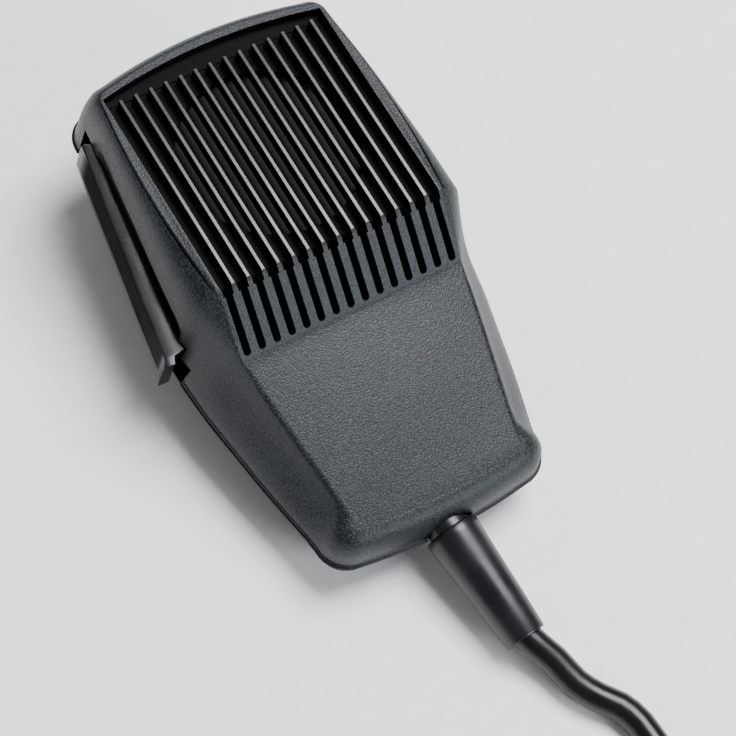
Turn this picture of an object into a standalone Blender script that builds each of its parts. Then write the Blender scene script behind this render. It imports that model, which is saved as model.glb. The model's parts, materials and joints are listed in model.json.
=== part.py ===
"""Hand microphone with a side talk lever, a curly cord and a locking plug.

The microphone is drawn in its own frame: X to the right as seen from the front, Y towards the head,
Z out of the front, with the seam between the two covers at Z = 0. It lies on its back, propped by the
hang-up button, so that frame is tilted in the world. Metres throughout.
"""
import math

import bmesh
import bpy
from mathutils import Matrix, Vector

# ---- housing -------------------------------------------------------------------------------
WALL = 0.0020
SEAM_GAP = 0.0003
SEAM_TOP, SEAM_BOTTOM = 0.0478, -0.0462
SEAM_BOW_TOP, SEAM_BOW_BOTTOM = 0.0034, 0.0020
SEAM_CORNER_TOP, SEAM_CORNER_BOTTOM = 0.0050, 0.0060
SEAM_WIDTHS = ((0.0478, 0.0246), (0.0230, 0.0275), (0.0024, 0.0296), (-0.0100, 0.0288),
               (-0.0200, 0.0271), (-0.0300, 0.0252), (-0.0462, 0.0214))
FACE_TOP, FACE_FOLD, FACE_SLOPE_END, FACE_BOTTOM = 0.0449, 0.0024, -0.0088, -0.0424
FACE_BOW_TOP, FACE_BOW_BOTTOM = 0.0028, 0.0010
FACE_CORNER = 0.0018
FACE_WIDTHS = ((FACE_TOP, 0.0223), (0.0340, 0.0234), (0.0230, 0.0238), (0.0120, 0.0235), (FACE_FOLD, 0.0226),
               (FACE_SLOPE_END, 0.0226), (FACE_BOTTOM, 0.0167))
FACE_HEIGHTS = ((FACE_TOP, 0.0172), (FACE_FOLD, 0.0222), (FACE_SLOPE_END, 0.0138), (FACE_BOTTOM, 0.0078))
FRONT_LEVELS = ((0.0, 0.0, 0.0), (0.08, 0.0, 0.0), (0.42, 0.08, 0.34), (0.76, 0.32, 0.74), (0.94, 0.70, 0.93),
                (1.0, 1.0, 1.0))
BACK_DEPTH = 0.0105
BACK_INSET = 0.0062
BACK_LEVELS = ((0.0, 0.04, 0.04), (0.12, 0.04, 0.04), (0.30, 0.09, 0.09), (0.62, 0.34, 0.34), (0.88, 0.70, 0.70),
               (1.0, 1.0, 1.0))
PROFILE_CHANGE, PROFILE_END, PROFILE_FADE = 0.0100, -0.0415, 0.0040

# ---- grille --------------------------------------------------------------------------------
SLOT_COUNT = 15
SLOT_PITCH = 0.00298
SLOT_WIDTH_HEAD, SLOT_WIDTH_SLOPE = 0.0021, 0.0012
SLOT_DEPTH = 0.0024
SLOT_TOP, RIM_CHANNEL, RIM_BOW = 0.0426, 0.0014, 0.0024
SLAB_THICKNESS = 0.0040
SOUND_HOLE_RADIUS = 0.0166
HEAD_CENTRE_Y = 0.0233
HEAD_TILT = math.atan2(0.0222 - 0.0172, FACE_TOP - FACE_FOLD)
HEAD_CENTRE_Z = 0.0172 + (FACE_TOP - HEAD_CENTRE_Y) * math.tan(HEAD_TILT)

# ---- talk lever and switch -----------------------------------------------------------------
PIVOT = (-0.0215, 0.0375)
PIVOT_PIN_RADIUS = 0.0010
LEVER_LOW, LEVER_HIGH = -0.0010, 0.0080
SWITCH_Y = 0.0244
SWITCH_SIZE = (0.0065, 0.0128, 0.0058)
SWITCH_CENTRE = (-0.01795, SWITCH_Y, 0.0004)
BOARD_LOW, BOARD_HIGH = -0.0044, -0.0028

BOARD_SCREWS = ((-0.0110, 0.0155), (-0.0110, 0.0325))

# ---- back ----------------------------------------------------------------------------------
CASE_SCREWS = ((-0.0155, 0.0400), (0.0155, 0.0400), (-0.0130, -0.0350), (0.0130, -0.0350))
BUTTON_Y = 0.0200
BUTTON_HEIGHT = 0.0060
BUTTON_RADIUS = 0.0070
LYING_TILT = math.atan2(BUTTON_HEIGHT, BUTTON_Y - BUTTON_RADIUS - SEAM_BOTTOM - BACK_INSET)

# ---- cord, boot and plug -------------------------------------------------------------------
CORD_RADIUS = 0.0027
COIL_RADIUS = 0.0075
BOOT_START = Vector((0.0003, -0.0483, 0.0))
BOOT_TIP = Vector((0.0030, -0.0716, -0.0010))
BOOT_BORE = 0.0030
BOOT_INSIDE = 0.0062
CLAMP_X, CLAMP_Y, CLAMP_AXIS = -0.00095, -0.0375, 0.00046
CLAMP_FOOT = -0.0028
CLAMP_RISE = CLAMP_FOOT - CLAMP_AXIS
CLAMP_SCREWS = (CLAMP_X - 0.00605, CLAMP_X + 0.00605)
BOOT_LENGTH = (BOOT_TIP - BOOT_START).length
PLUG_AT = Vector((-0.0240, -0.1500, 0.0060))
PLUG_TILT = math.radians(7.0)
PLUG_RING_RADIUS = 0.0092
TAIL_ROUTE = ((0.0076, -0.0780, 0.0046), (0.0090, -0.0830, 0.0036), (0.0114, -0.0871, 0.0030),
              (0.0140, -0.0904, 0.0028), (0.0155, -0.0948, 0.0028), (0.0160, -0.1020, 0.0028),
              (0.0178, -0.1130, 0.0028), (0.0200, -0.1247, 0.0028))
COIL_START, COIL_TURN_Y, COIL_END = -0.1250, -0.2320, -0.1720
COIL_X, COIL_TURN_RADIUS = 0.0200, 0.0220


def clear_scene():
    """Remove the objects that a new file starts with."""
    for thing in list(bpy.data.objects):
        bpy.data.objects.remove(thing, do_unlink=True)


def new_collection(name):
    """Return a new collection linked to the scene."""
    group = bpy.data.collections.new(name)
    bpy.context.scene.collection.children.link(group)
    return group


clear_scene()
PARTS = new_collection("hand_microphone")
CUTTERS = new_collection("cutters")


def new_frame(name, location=(0, 0, 0), parent=None, matrix=None):
    """Add an empty that carries a sub-assembly."""
    empty = bpy.data.objects.new(name, None)
    empty.empty_display_size = 0.01
    PARTS.objects.link(empty)
    empty.parent = parent
    empty.matrix_local = matrix if matrix else Matrix.Translation(location)
    return empty


def new_material(name, colour, roughness, metallic=0.0):
    """Return a Principled material."""
    material = bpy.data.materials.new(name)
    material.use_nodes = True
    shader = material.node_tree.nodes["Principled BSDF"]
    shader.inputs["Base Color"].default_value = (*colour, 1.0)
    shader.inputs["Roughness"].default_value = roughness
    shader.inputs["Metallic"].default_value = metallic
    return material


BLACK_ABS = new_material("black_abs", (0.020, 0.023, 0.025), 0.55)
BLACK_RUBBER = new_material("black_rubber", (0.010, 0.011, 0.013), 0.45)
BLACK_JACKET = new_material("black_jacket", (0.009, 0.011, 0.014), 0.30)
SCREEN_CLOTH = new_material("screen_cloth", (0.006, 0.006, 0.007), 0.95)
BRIGHT_STEEL = new_material("bright_steel", (0.55, 0.55, 0.56), 0.30, 1.0)
CHROME = new_material("chrome", (0.75, 0.75, 0.76), 0.12, 1.0)
BRASS = new_material("brass", (0.72, 0.50, 0.20), 0.30, 1.0)
ALUMINIUM = new_material("aluminium", (0.65, 0.66, 0.67), 0.35, 1.0)
BOARD_GREEN = new_material("board_resin", (0.16, 0.10, 0.03), 0.50)
SWITCH_BLACK = new_material("switch_resin", (0.03, 0.03, 0.035), 0.40)
LEAD_RED = new_material("lead_red", (0.45, 0.03, 0.02), 0.45)
LEAD_WHITE = new_material("lead_white", (0.70, 0.70, 0.66), 0.45)


def link(thing, material=None, parent=None, group=None):
    """Put an object in its collection, under its frame, with its material."""
    (group or PARTS).objects.link(thing)
    thing.parent = parent
    if material:
        thing.data.materials.append(material)
    return thing


def mesh_object(name, mesh_data, material=None, parent=None, group=None):
    """Make an object of a bmesh."""
    mesh = bpy.data.meshes.new(name)
    mesh_data.to_mesh(mesh)
    mesh_data.free()
    return link(bpy.data.objects.new(name, mesh), material, parent, group)


def as_cutter(thing):
    """Mark an object as a cutter."""
    thing.hide_render = True
    thing.display_type = "WIRE"
    return thing


def apply_boolean(target, cutter, operation="DIFFERENCE"):
    """Cut or join one object by another, exactly."""
    step = target.modifiers.new(cutter.name, "BOOLEAN")
    step.object = cutter
    step.operation = operation
    step.solver = "EXACT"
    return step


def box_mesh(low, high):
    """A box between two corners."""
    shape = bmesh.new()
    size = [b - a for a, b in zip(low, high)]
    middle = [(a + b) / 2 for a, b in zip(low, high)]
    place = Matrix.Translation(middle) @ Matrix.Diagonal((*size, 1.0))
    bmesh.ops.create_cube(shape, size=1.0, matrix=place)
    return shape


def rod_mesh(base, length, radius, axis="Z", sides=24, radius_far=None):
    """A cylinder or cone that starts at base and runs along an axis."""
    turn = {"X": Matrix.Rotation(math.pi / 2, 4, "Y"), "Y": Matrix.Rotation(-math.pi / 2, 4, "X"),
            "Z": Matrix.Identity(4)}[axis]
    place = Matrix.Translation(base) @ turn @ Matrix.Translation((0, 0, length / 2))
    shape = bmesh.new()
    bmesh.ops.create_cone(shape, cap_ends=True, segments=sides, radius1=radius,
                          radius2=radius if radius_far is None else radius_far, depth=length, matrix=place)
    return shape


def box(name, low, high, material=None, parent=None, group=None):
    """A named box."""
    return mesh_object(name, box_mesh(low, high), material, parent, group)


def rod(name, base, length, radius, material=None, parent=None, group=None, axis="Z", sides=24):
    """A named cylinder."""
    return mesh_object(name, rod_mesh(base, length, radius, axis, sides), material, parent, group)


def smooth(thing, angle=35):
    """Shade a round piece smooth, with its edges sharp."""
    thing.data.shade_smooth()
    thing.data.set_sharp_from_angle(angle=math.radians(angle))
    return thing


def turned(name, profile, material, parent, location=(0, 0, 0), axis="Z", sides=24, group=None):
    """Turn a profile of (radius, height) pairs round an axis through location."""
    shape = bmesh.new()
    points = [shape.verts.new((radius, 0.0, height)) for radius, height in profile]
    for first, second in zip(points, points[1:]):
        shape.edges.new((first, second))
    if profile[0][0] > 0:
        shape.edges.new((points[-1], points[0]))
    thing = mesh_object(name, shape, material, parent, group)
    turn = {"X": Matrix.Rotation(math.pi / 2, 4, "Y"), "Y": Matrix.Rotation(-math.pi / 2, 4, "X"),
            "Z": Matrix.Identity(4)}[axis]
    thing.matrix_local = Matrix.Translation(location) @ turn
    screw = thing.modifiers.new("turn", "SCREW")
    screw.steps = sides
    screw.render_steps = sides
    screw.use_merge_vertices = True
    screw.merge_threshold = 0.00001
    return thing


def plate(name, points, low, high, material=None, parent=None, group=None):
    """A flat outline in X and Y, thick from low to high in Z."""
    curve = bpy.data.curves.new(name, "CURVE")
    curve.dimensions = "2D"
    curve.fill_mode = "BOTH"
    curve.extrude = (high - low) / 2
    outline = curve.splines.new("POLY")
    outline.points.add(len(points) - 1)
    for knot, (x, y) in zip(outline.points, points):
        knot.co = (x, y, 0.0, 1.0)
    outline.use_cyclic_u = True
    rough = bpy.data.objects.new(name + "_outline", curve)
    PARTS.objects.link(rough)
    thing = to_mesh(rough, name, material, parent, group)
    thing.location.z = (low + high) / 2
    return thing


def to_mesh(rough, name, material=None, parent=None, group=None):
    """Turn a curve object into a welded mesh object, and remove the curve."""
    graph = bpy.context.evaluated_depsgraph_get()
    mesh = bpy.data.meshes.new_from_object(rough.evaluated_get(graph))
    shape = bmesh.new()
    shape.from_mesh(mesh)
    bmesh.ops.remove_doubles(shape, verts=shape.verts, dist=0.000005)
    bmesh.ops.recalc_face_normals(shape, faces=shape.faces)
    place = rough.matrix_world.copy()
    bpy.data.objects.remove(rough, do_unlink=True)
    bpy.data.meshes.remove(mesh)
    thing = mesh_object(name, shape, material, parent, group)
    thing.matrix_local = place
    return thing


def tube(name, points, radius, material, parent=None, resolution=2):
    """A round tube along a line of points, with closed ends."""
    curve = bpy.data.curves.new(name, "CURVE")
    curve.dimensions = "3D"
    curve.bevel_depth = radius
    curve.bevel_resolution = resolution
    curve.use_fill_caps = True
    line = curve.splines.new("POLY")
    line.points.add(len(points) - 1)
    for knot, point in zip(line.points, points):
        knot.co = (*point, 1.0)
    return link(bpy.data.objects.new(name, curve), material, parent)


def smooth_line(points, spacing):
    """Points every spacing or so along a smooth curve through the given points."""
    route = [Vector(point) for point in points]
    route = [2 * route[0] - route[1], *route, 2 * route[-1] - route[-2]]
    line = []
    for before, start, end, after in zip(route, route[1:], route[2:], route[3:]):
        steps = max(1, round((end - start).length / spacing))
        for step in range(steps):
            t = step / steps
            line.append(0.5 * (2 * start + (end - before) * t
                               + (2 * before - 5 * start + 4 * end - after) * t ** 2
                               + (3 * start - before - 3 * end + after) * t ** 3))
    return line + [route[-2]]


def along(table, y):
    """Read a table of (y, value) pairs, straight between its rows and beyond its ends."""
    row = 0
    while row < len(table) - 2 and y < table[row + 1][0]:
        row += 1
    (y0, value0), (y1, value1) = table[row], table[row + 1]
    return value0 + (value1 - value0) * (y - y0) / (y1 - y0)


def half_outline(widths, top, bottom, bow_top, bow_bottom, corner_top, corner_bottom):
    """The right half of a cover's outline, from the top's middle down to the bottom's middle."""
    def end_edge(x, end, bow):
        return end + bow * (1 - (x / along(widths, end)) ** 2)

    points = []
    for sign, end, bow, corner in ((1, top, bow_top, corner_top), (-1, bottom, -bow_bottom, corner_bottom)):
        centre_x = along(widths, end - sign * corner) - corner
        centre_y = end_edge(centre_x, end, bow) - sign * corner
        part = [(x, end_edge(x, end, bow)) for x in (0.0, 0.35 * centre_x, 0.7 * centre_x)]
        for degrees in (75, 45, 15):
            angle = math.radians(degrees)
            part.append((centre_x + corner * math.cos(angle), centre_y + sign * corner * math.sin(angle)))
        points.append((part, centre_y))
    (upper, upper_y), (lower, lower_y) = points
    stations = [upper_y + (FACE_FOLD - upper_y) * step / 4 for step in (1, 2, 3)]
    stations += [FACE_FOLD, FACE_SLOPE_END]
    stations += [FACE_SLOPE_END + (lower_y - FACE_SLOPE_END) * step / 4 for step in (1, 2, 3)]
    return upper + [(along(widths, y), y) for y in stations] + lower[::-1]


def ring_between(seam, face, head_share, panel_share):
    """A full ring between the seam's outline and the face's, by one share at the head and one below."""
    right = []
    for p, q in zip(seam, face):
        along_body = min(1.0, max(0.0, (FACE_FOLD - q[1]) / PROFILE_CHANGE),
                         max(0.0, (q[1] - PROFILE_END) / PROFILE_FADE))
        share = head_share + (panel_share - head_share) * along_body
        right.append(tuple(a + (b - a) * share for a, b in zip(p, q)))
    return right + [(-x, y) for x, y in right[-2:0:-1]]


def cover_mesh(seam, face, levels, height_at, base, breaks):
    """An open shell: rings up the wall, then flat faces that meet at the breaks."""
    shape = bmesh.new()
    full_face = ring_between(seam, face, 1.0, 1.0)
    rings = []
    for height, head_share, panel_share in levels:
        ring = ring_between(seam, face, head_share, panel_share)
        rings.append([shape.verts.new((x, y, base + (height_at(full_face[i][1]) - base) * height))
                      for i, (x, y) in enumerate(ring)])
    count = len(full_face)
    for lower, upper in zip(rings, rings[1:]):
        for i in range(count):
            j = (i + 1) % count
            shape.faces.new((lower[j], lower[i], upper[i], upper[j]))
    edges = [0, *breaks, len(face) - 1]
    for first, last in zip(edges, edges[1:]):
        right = rings[-1][first:last + 1]
        left = [rings[-1][(count - i) % count] for i in range(first, last + 1)]
        loop = right + [vertex for vertex in left[::-1] if vertex not in right]
        shape.faces.new(loop[::-1])
    return shape


def thicken(thing):
    """Give a cover its wall, inwards."""
    step = thing.modifiers.new("wall", "SOLIDIFY")
    step.thickness = WALL
    step.offset = -1.0
    step.use_even_offset = True
    return thing


def boxes(name, corners, parent=None):
    """Several separate boxes in one cutter."""
    shape = bmesh.new()
    for low, high in corners:
        size = [b - a for a, b in zip(low, high)]
        middle = [(a + b) / 2 for a, b in zip(low, high)]
        bmesh.ops.create_cube(shape, size=1.0, matrix=Matrix.Translation(middle) @ Matrix.Diagonal((*size, 1.0)))
    return as_cutter(mesh_object(name, shape, None, parent, CUTTERS))


def cutting_rod(name, base, length, radius, parent, axis="Z", sides=12):
    """A round cutter, or a round boss to be joined."""
    return as_cutter(rod(name, base, length, radius, None, parent, CUTTERS, axis, sides))


def cutting_box(name, low, high, parent):
    """A square cutter, or a slab to be joined."""
    return as_cutter(box(name, low, high, None, parent, CUTTERS))


MIC = new_frame("mic_frame")
HEAD = new_frame("head_frame", parent=MIC, matrix=Matrix.Translation((0, HEAD_CENTRE_Y, HEAD_CENTRE_Z))
                 @ Matrix.Rotation(-HEAD_TILT, 4, "X"))
SLOPE_DROP = along(FACE_HEIGHTS, FACE_FOLD) - along(FACE_HEIGHTS, FACE_SLOPE_END)
SLOPE_MIDDLE = along(FACE_HEIGHTS, (FACE_FOLD + FACE_SLOPE_END) / 2)
SLOPE_TILT = math.atan2(SLOPE_DROP, FACE_FOLD - FACE_SLOPE_END)
SLOPE_LENGTH = math.hypot(SLOPE_DROP, FACE_FOLD - FACE_SLOPE_END)
SLOPE = new_frame("slope_frame", parent=MIC,
                  matrix=Matrix.Translation((0, (FACE_FOLD + FACE_SLOPE_END) / 2, SLOPE_MIDDLE))
                  @ Matrix.Rotation(SLOPE_TILT, 4, "X"))
BOOT = new_frame("boot_frame", parent=MIC, matrix=Matrix.Translation(BOOT_START)
                 @ (BOOT_TIP - BOOT_START).to_track_quat("Z", "X").to_matrix().to_4x4())
LEVER = new_frame("lever_axis", (*PIVOT, 0.0), MIC)
PLUG = new_frame("plug_frame", matrix=Matrix.Translation(PLUG_AT)
                 @ Matrix.Rotation(PLUG_TILT - math.pi / 2, 4, "X"))


def seam_outline():
    """The outline that both covers share at the seam."""
    return half_outline(SEAM_WIDTHS, SEAM_TOP, SEAM_BOTTOM, SEAM_BOW_TOP, SEAM_BOW_BOTTOM,
                        SEAM_CORNER_TOP, SEAM_CORNER_BOTTOM)


def head_y(y):
    """A place along the head's face, in the head's own frame."""
    return (y - HEAD_CENTRE_Y) / math.cos(HEAD_TILT)


def build_front_cover():
    """The front cover: grille, wall, screw columns and the lever's opening."""
    face = half_outline(FACE_WIDTHS, FACE_TOP, FACE_BOTTOM, FACE_BOW_TOP, FACE_BOW_BOTTOM,
                        FACE_CORNER, FACE_CORNER)
    fold = 9
    shape = cover_mesh(seam_outline(), face, FRONT_LEVELS, lambda y: along(FACE_HEIGHTS, y), 0.0,
                       (fold, fold + 1))
    cover = thicken(mesh_object("front_cover", shape, BLACK_ABS, MIC))
    joined = [
        cutting_box("head_slab", (-0.0220, head_y(FACE_FOLD) - 0.0004, -SLAB_THICKNESS),
                    (0.0220, 0.0233, -0.0010), HEAD),
        cutting_box("slope_slab", (-0.0212, -SLOPE_LENGTH / 2, -SLAB_THICKNESS),
                    (0.0212, SLOPE_LENGTH / 2, -0.0010), SLOPE),
        cutting_rod("pin_boss", (*PIVOT, 0.0098), 0.0048, 0.0020, MIC),
    ]
    for number, (x, y) in enumerate(CASE_SCREWS, 1):
        top = along(FACE_HEIGHTS, y) - 0.0012
        joined.append(cutting_rod(f"front_column_{number}", (x, y, SEAM_GAP), top - SEAM_GAP, 0.0030, MIC))
    for side in (-1, 1):
        joined.append(cutting_rod(f"retainer_column_{side}", (0, side * 0.0208, -0.0150), 0.0125, 0.0024, HEAD))
    for piece in joined:
        apply_boolean(cover, piece, "UNION")

    middle = (SLOT_COUNT - 1) / 2
    places = [(index - middle) * SLOT_PITCH for index in range(SLOT_COUNT)]
    half = SLOT_WIDTH_HEAD / 2
    edge = places[-1] + half + 0.0002
    rim = [(-edge, head_y(SLOT_TOP)), (edge, head_y(SLOT_TOP))]
    for step in range(9):
        across = 1 - step / 4
        rim.append((across * edge, head_y(SLOT_TOP + RIM_CHANNEL + RIM_BOW * (1 - across ** 2))))
    cuts = [
        boxes("head_slots", [((x - half, head_y(FACE_FOLD) - 0.0012, -SLOT_DEPTH),
                              (x + half, head_y(SLOT_TOP) + 0.0004, 0.004)) for x in places], HEAD),
        boxes("slope_slots", [((x - SLOT_WIDTH_SLOPE / 2, -SLOPE_LENGTH / 2 + 0.0010, -SLOT_DEPTH),
                               (x + SLOT_WIDTH_SLOPE / 2, SLOPE_LENGTH / 2 + 0.0010, 0.004))
                              for x in places], SLOPE),
        as_cutter(plate("rim_channel", rim, 0.0003 - SLOT_DEPTH, 0.005, None, HEAD, CUTTERS)),
        cutting_rod("sound_hole", (0, 0, -0.0070), 0.0047, SOUND_HOLE_RADIUS, HEAD, sides=40),
        cutting_box("front_lever_opening", (-0.0400, -0.0038, -0.0010),
                    (-0.0205, 0.0434, LEVER_HIGH + 0.0006), MIC),
        cutting_rod("front_pin_hole", (*PIVOT, 0.0080), 0.0060, PIVOT_PIN_RADIUS + 0.00015, MIC),
        cutting_rod("front_boot_hole", (0, 0, -0.0045), 0.0085, 0.0044, BOOT, sides=24),
    ]
    for number, (x, y) in enumerate(CASE_SCREWS, 1):
        depth = 0.0090 if y > 0 else 0.0058
        cuts.append(cutting_rod(f"front_screw_hole_{number}", (x, y, -0.001), depth + 0.001, 0.0014, MIC))
    for side in (-1, 1):
        cuts.append(cutting_rod(f"retainer_hole_{side}", (0, side * 0.0208, -0.0160), 0.0060, 0.0013, HEAD))
    for piece in cuts:
        apply_boolean(cover, piece)


def build_back_cover():
    """The back cover: shallow shell, screw columns, posts and the lever's opening."""
    narrower = [(y, width - BACK_INSET) for y, width in SEAM_WIDTHS]
    face = half_outline(narrower, SEAM_TOP - BACK_INSET, SEAM_BOTTOM + BACK_INSET, SEAM_BOW_TOP,
                        0.0, SEAM_CORNER_TOP, SEAM_CORNER_BOTTOM)
    shape = cover_mesh(seam_outline(), face, BACK_LEVELS, lambda y: -BACK_DEPTH, -SEAM_GAP, ())
    bmesh.ops.reverse_faces(shape, faces=shape.faces)
    cover = thicken(mesh_object("back_cover", shape, BLACK_ABS, MIC))
    low = 0.0007 - BACK_DEPTH
    joined = [cutting_rod("back_pin_boss", (*PIVOT, low), -0.0016 - low, 0.0022, MIC)]
    for number, (x, y) in enumerate(CASE_SCREWS, 1):
        joined.append(cutting_rod(f"back_column_{number}", (x, y, low), -SEAM_GAP - low, 0.0036, MIC))
    for number, (x, y) in enumerate(BOARD_SCREWS, 1):
        joined.append(cutting_rod(f"board_post_{number}", (x, y, low), BOARD_LOW - 0.0003 - low, 0.0022, MIC))
    for number, x in enumerate(CLAMP_SCREWS, 1):
        joined.append(cutting_rod(f"clamp_post_{number}", (x, CLAMP_Y, low), CLAMP_FOOT - 0.0003 - low,
                                  0.0020, MIC))
    for piece in joined:
        apply_boolean(cover, piece, "UNION")
    cuts = [
        cutting_box("back_lever_opening", (-0.0400, -0.0038, LEVER_LOW - 0.0006),
                    (-0.0205, 0.0434, 0.0010), MIC),
        cutting_rod("back_pin_hole", (*PIVOT, -0.0050), 0.0060, PIVOT_PIN_RADIUS + 0.00015, MIC),
        cutting_rod("back_boot_hole", (0, 0, -0.0045), 0.0085, 0.0044, BOOT, sides=24),
        cutting_rod("button_hole", (0, BUTTON_Y, -0.0120), 0.0060, 0.0017, MIC),
    ]
    for number, (x, y) in enumerate(CASE_SCREWS, 1):
        cuts.append(cutting_rod(f"back_screw_hole_{number}", (x, y, -0.0120), 0.0130, 0.0016, MIC))
        cuts.append(cutting_rod(f"back_screw_seat_{number}", (x, y, -0.0120), 0.0080, 0.0029, MIC))
    for number, (x, y) in enumerate(BOARD_SCREWS, 1):
        cuts.append(cutting_rod(f"board_post_hole_{number}", (x, y, -0.0080), 0.0040, 0.0012, MIC))
    for number, x in enumerate(CLAMP_SCREWS, 1):
        cuts.append(cutting_rod(f"clamp_post_hole_{number}", (x, CLAMP_Y, -0.0078), 0.0060, 0.0010, MIC))
    for piece in cuts:
        apply_boolean(cover, piece)


def screw(name, place, head_radius, head_height, shank_radius, shank_length, material, parent, upwards):
    """A pan-head screw whose head's underside is at place; upwards points the shank to +Z."""
    side = 1 if upwards else -1
    profile = [(0, side * shank_length), (shank_radius, side * shank_length), (shank_radius, 0),
               (head_radius, 0), (head_radius, -side * head_height * 0.6),
               (head_radius * 0.7, -side * head_height), (0, -side * head_height)]
    if not upwards:
        profile.reverse()
    return smooth(turned(name, profile, material, parent, place, sides=12), 50)


def build_sound_parts():
    """Screen, gasket, capsule and the bar that holds them behind the grille."""
    smooth(rod("dust_screen", (0, 0, -0.0046), 0.0003, 0.0178, SCREEN_CLOTH, HEAD, sides=32))
    smooth(turned("capsule_gasket", [(0.0175, -0.0049), (0.0175, -0.0064), (0.0125, -0.0064),
                                     (0.0125, -0.0049)], BLACK_RUBBER, HEAD, sides=32))
    capsule = [(0, -0.0067), (0.0144, -0.0067), (0.0150, -0.0073), (0.0150, -0.0120), (0.0110, -0.0124),
               (0.0110, -0.0149), (0, -0.0149)]
    smooth(turned("microphone_capsule", capsule, ALUMINIUM, HEAD, sides=32))
    bar = box("capsule_retainer", (-0.0035, -0.0232, -0.0164), (0.0035, 0.0232, -0.0152), BRIGHT_STEEL, HEAD)
    for number, side in enumerate((1, -1), 1):
        hole = cutting_rod(f"bar_hole_{number}", (0, side * 0.0208, -0.0170), 0.0030, 0.0013, HEAD)
        apply_boolean(bar, hole)
        screw(f"retainer_screw_{number}", (0, side * 0.0208, -0.0167), 0.0021, 0.0014, 0.0010, 0.0055,
              BRIGHT_STEEL, HEAD, True)


def lever_outline():
    """The talk lever's outline round its pivot: grip outside, hub and nub inside."""
    grip = [(-0.0269, 0.0412), (-0.0298, 0.0200), (-0.0326, -0.0009), (-0.0335, -0.0023),
            (-0.0312, -0.0023), (-0.0306, -0.0009), (-0.0276, -0.0004), (-0.0250, 0.0200),
            (-0.0235, 0.0225), (-0.0235, 0.0263), (-0.0248, 0.0290)]
    hub = []
    for degrees in range(-110, 111, 22):
        angle = math.radians(degrees)
        hub.append((PIVOT[0] + 0.0026 * math.cos(angle), PIVOT[1] + 0.0026 * math.sin(angle)))
    return [(x - PIVOT[0], y - PIVOT[1]) for x, y in grip + hub]


def build_lever():
    """The talk lever, its pin and its torsion spring."""
    lever = plate("talk_lever", lever_outline(), LEVER_LOW, LEVER_HIGH, BLACK_ABS, LEVER)
    apply_boolean(lever, cutting_rod("lever_pin_hole", (0, 0, LEVER_LOW - 0.001), 0.012,
                                     PIVOT_PIN_RADIUS + 0.0001, LEVER, sides=12))
    smooth(rod("lever_pin", (*PIVOT, -0.0045), 0.0180, PIVOT_PIN_RADIUS, BRIGHT_STEEL, MIC, sides=12))
    coil_radius, wire, pitch, turns, per_turn = 0.0014, 0.0002, 0.00045, 2.75, 12
    line = [(-0.0014, -0.0100, LEVER_HIGH + 0.0003), (-0.0014, -0.0020, LEVER_HIGH + 0.0003)]
    for step in range(int(turns * per_turn) + 1):
        angle = math.pi + 2 * math.pi * step / per_turn
        line.append((coil_radius * math.cos(angle), coil_radius * math.sin(angle),
                     LEVER_HIGH + 0.0003 + pitch * step / per_turn))
    line.append((line[-1][0] + 0.0022, line[-1][1], line[-1][2]))
    tube("lever_spring", line, wire, BRIGHT_STEEL, LEVER, resolution=1)


def build_switch():
    """Circuit board, switch with its plunger, and what stands on the board."""
    board = box("circuit_board", (-0.0225, 0.0130, BOARD_LOW), (-0.0080, 0.0350, BOARD_HIGH), BOARD_GREEN, MIC)
    low = [c - s / 2 for c, s in zip(SWITCH_CENTRE, SWITCH_SIZE)]
    high = [c + s / 2 for c, s in zip(SWITCH_CENTRE, SWITCH_SIZE)]
    body = box("switch_body", low, high, SWITCH_BLACK, MIC)
    mid_z = SWITCH_CENTRE[2]
    apply_boolean(body, cutting_box("plunger_bore", (low[0] - 0.0005, SWITCH_Y - 0.0011, mid_z - 0.0011),
                                    (low[0] + 0.0025, SWITCH_Y + 0.0011, mid_z + 0.0011), MIC))
    box("switch_plunger", (low[0] - 0.0020, SWITCH_Y - 0.0010, mid_z - 0.0010),
        (low[0] + 0.0008, SWITCH_Y + 0.0010, mid_z + 0.0010), LEAD_WHITE, MIC)
    for number, side in enumerate((1, -1), 1):
        place = (SWITCH_CENTRE[0], SWITCH_Y + side * 0.00475, high[2] + 0.0003)
        hole = cutting_rod(f"switch_hole_{number}", (place[0], place[1], BOARD_LOW - 0.001), 0.0100, 0.0010, MIC)
        apply_boolean(body, hole)
        apply_boolean(board, hole)
        screw(f"switch_screw_{number}", place, 0.0015, 0.0010, 0.0007, 0.0076, BRIGHT_STEEL, MIC, False)
    for number, (x, y) in enumerate(BOARD_SCREWS, 1):
        apply_boolean(board, cutting_rod(f"board_hole_{number}", (x, y, BOARD_LOW - 0.001), 0.004, 0.0012, MIC))
        screw(f"board_screw_{number}", (x, y, BOARD_HIGH + 0.0003), 0.0020, 0.0013, 0.0009, 0.0045,
              BRIGHT_STEEL, MIC, False)
    smooth(rod("capsule_capacitor", (-0.0115, 0.0226, BOARD_HIGH + 0.0026), 0.0022, 0.0023, BRASS, MIC, axis="Y",
               sides=20))


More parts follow.
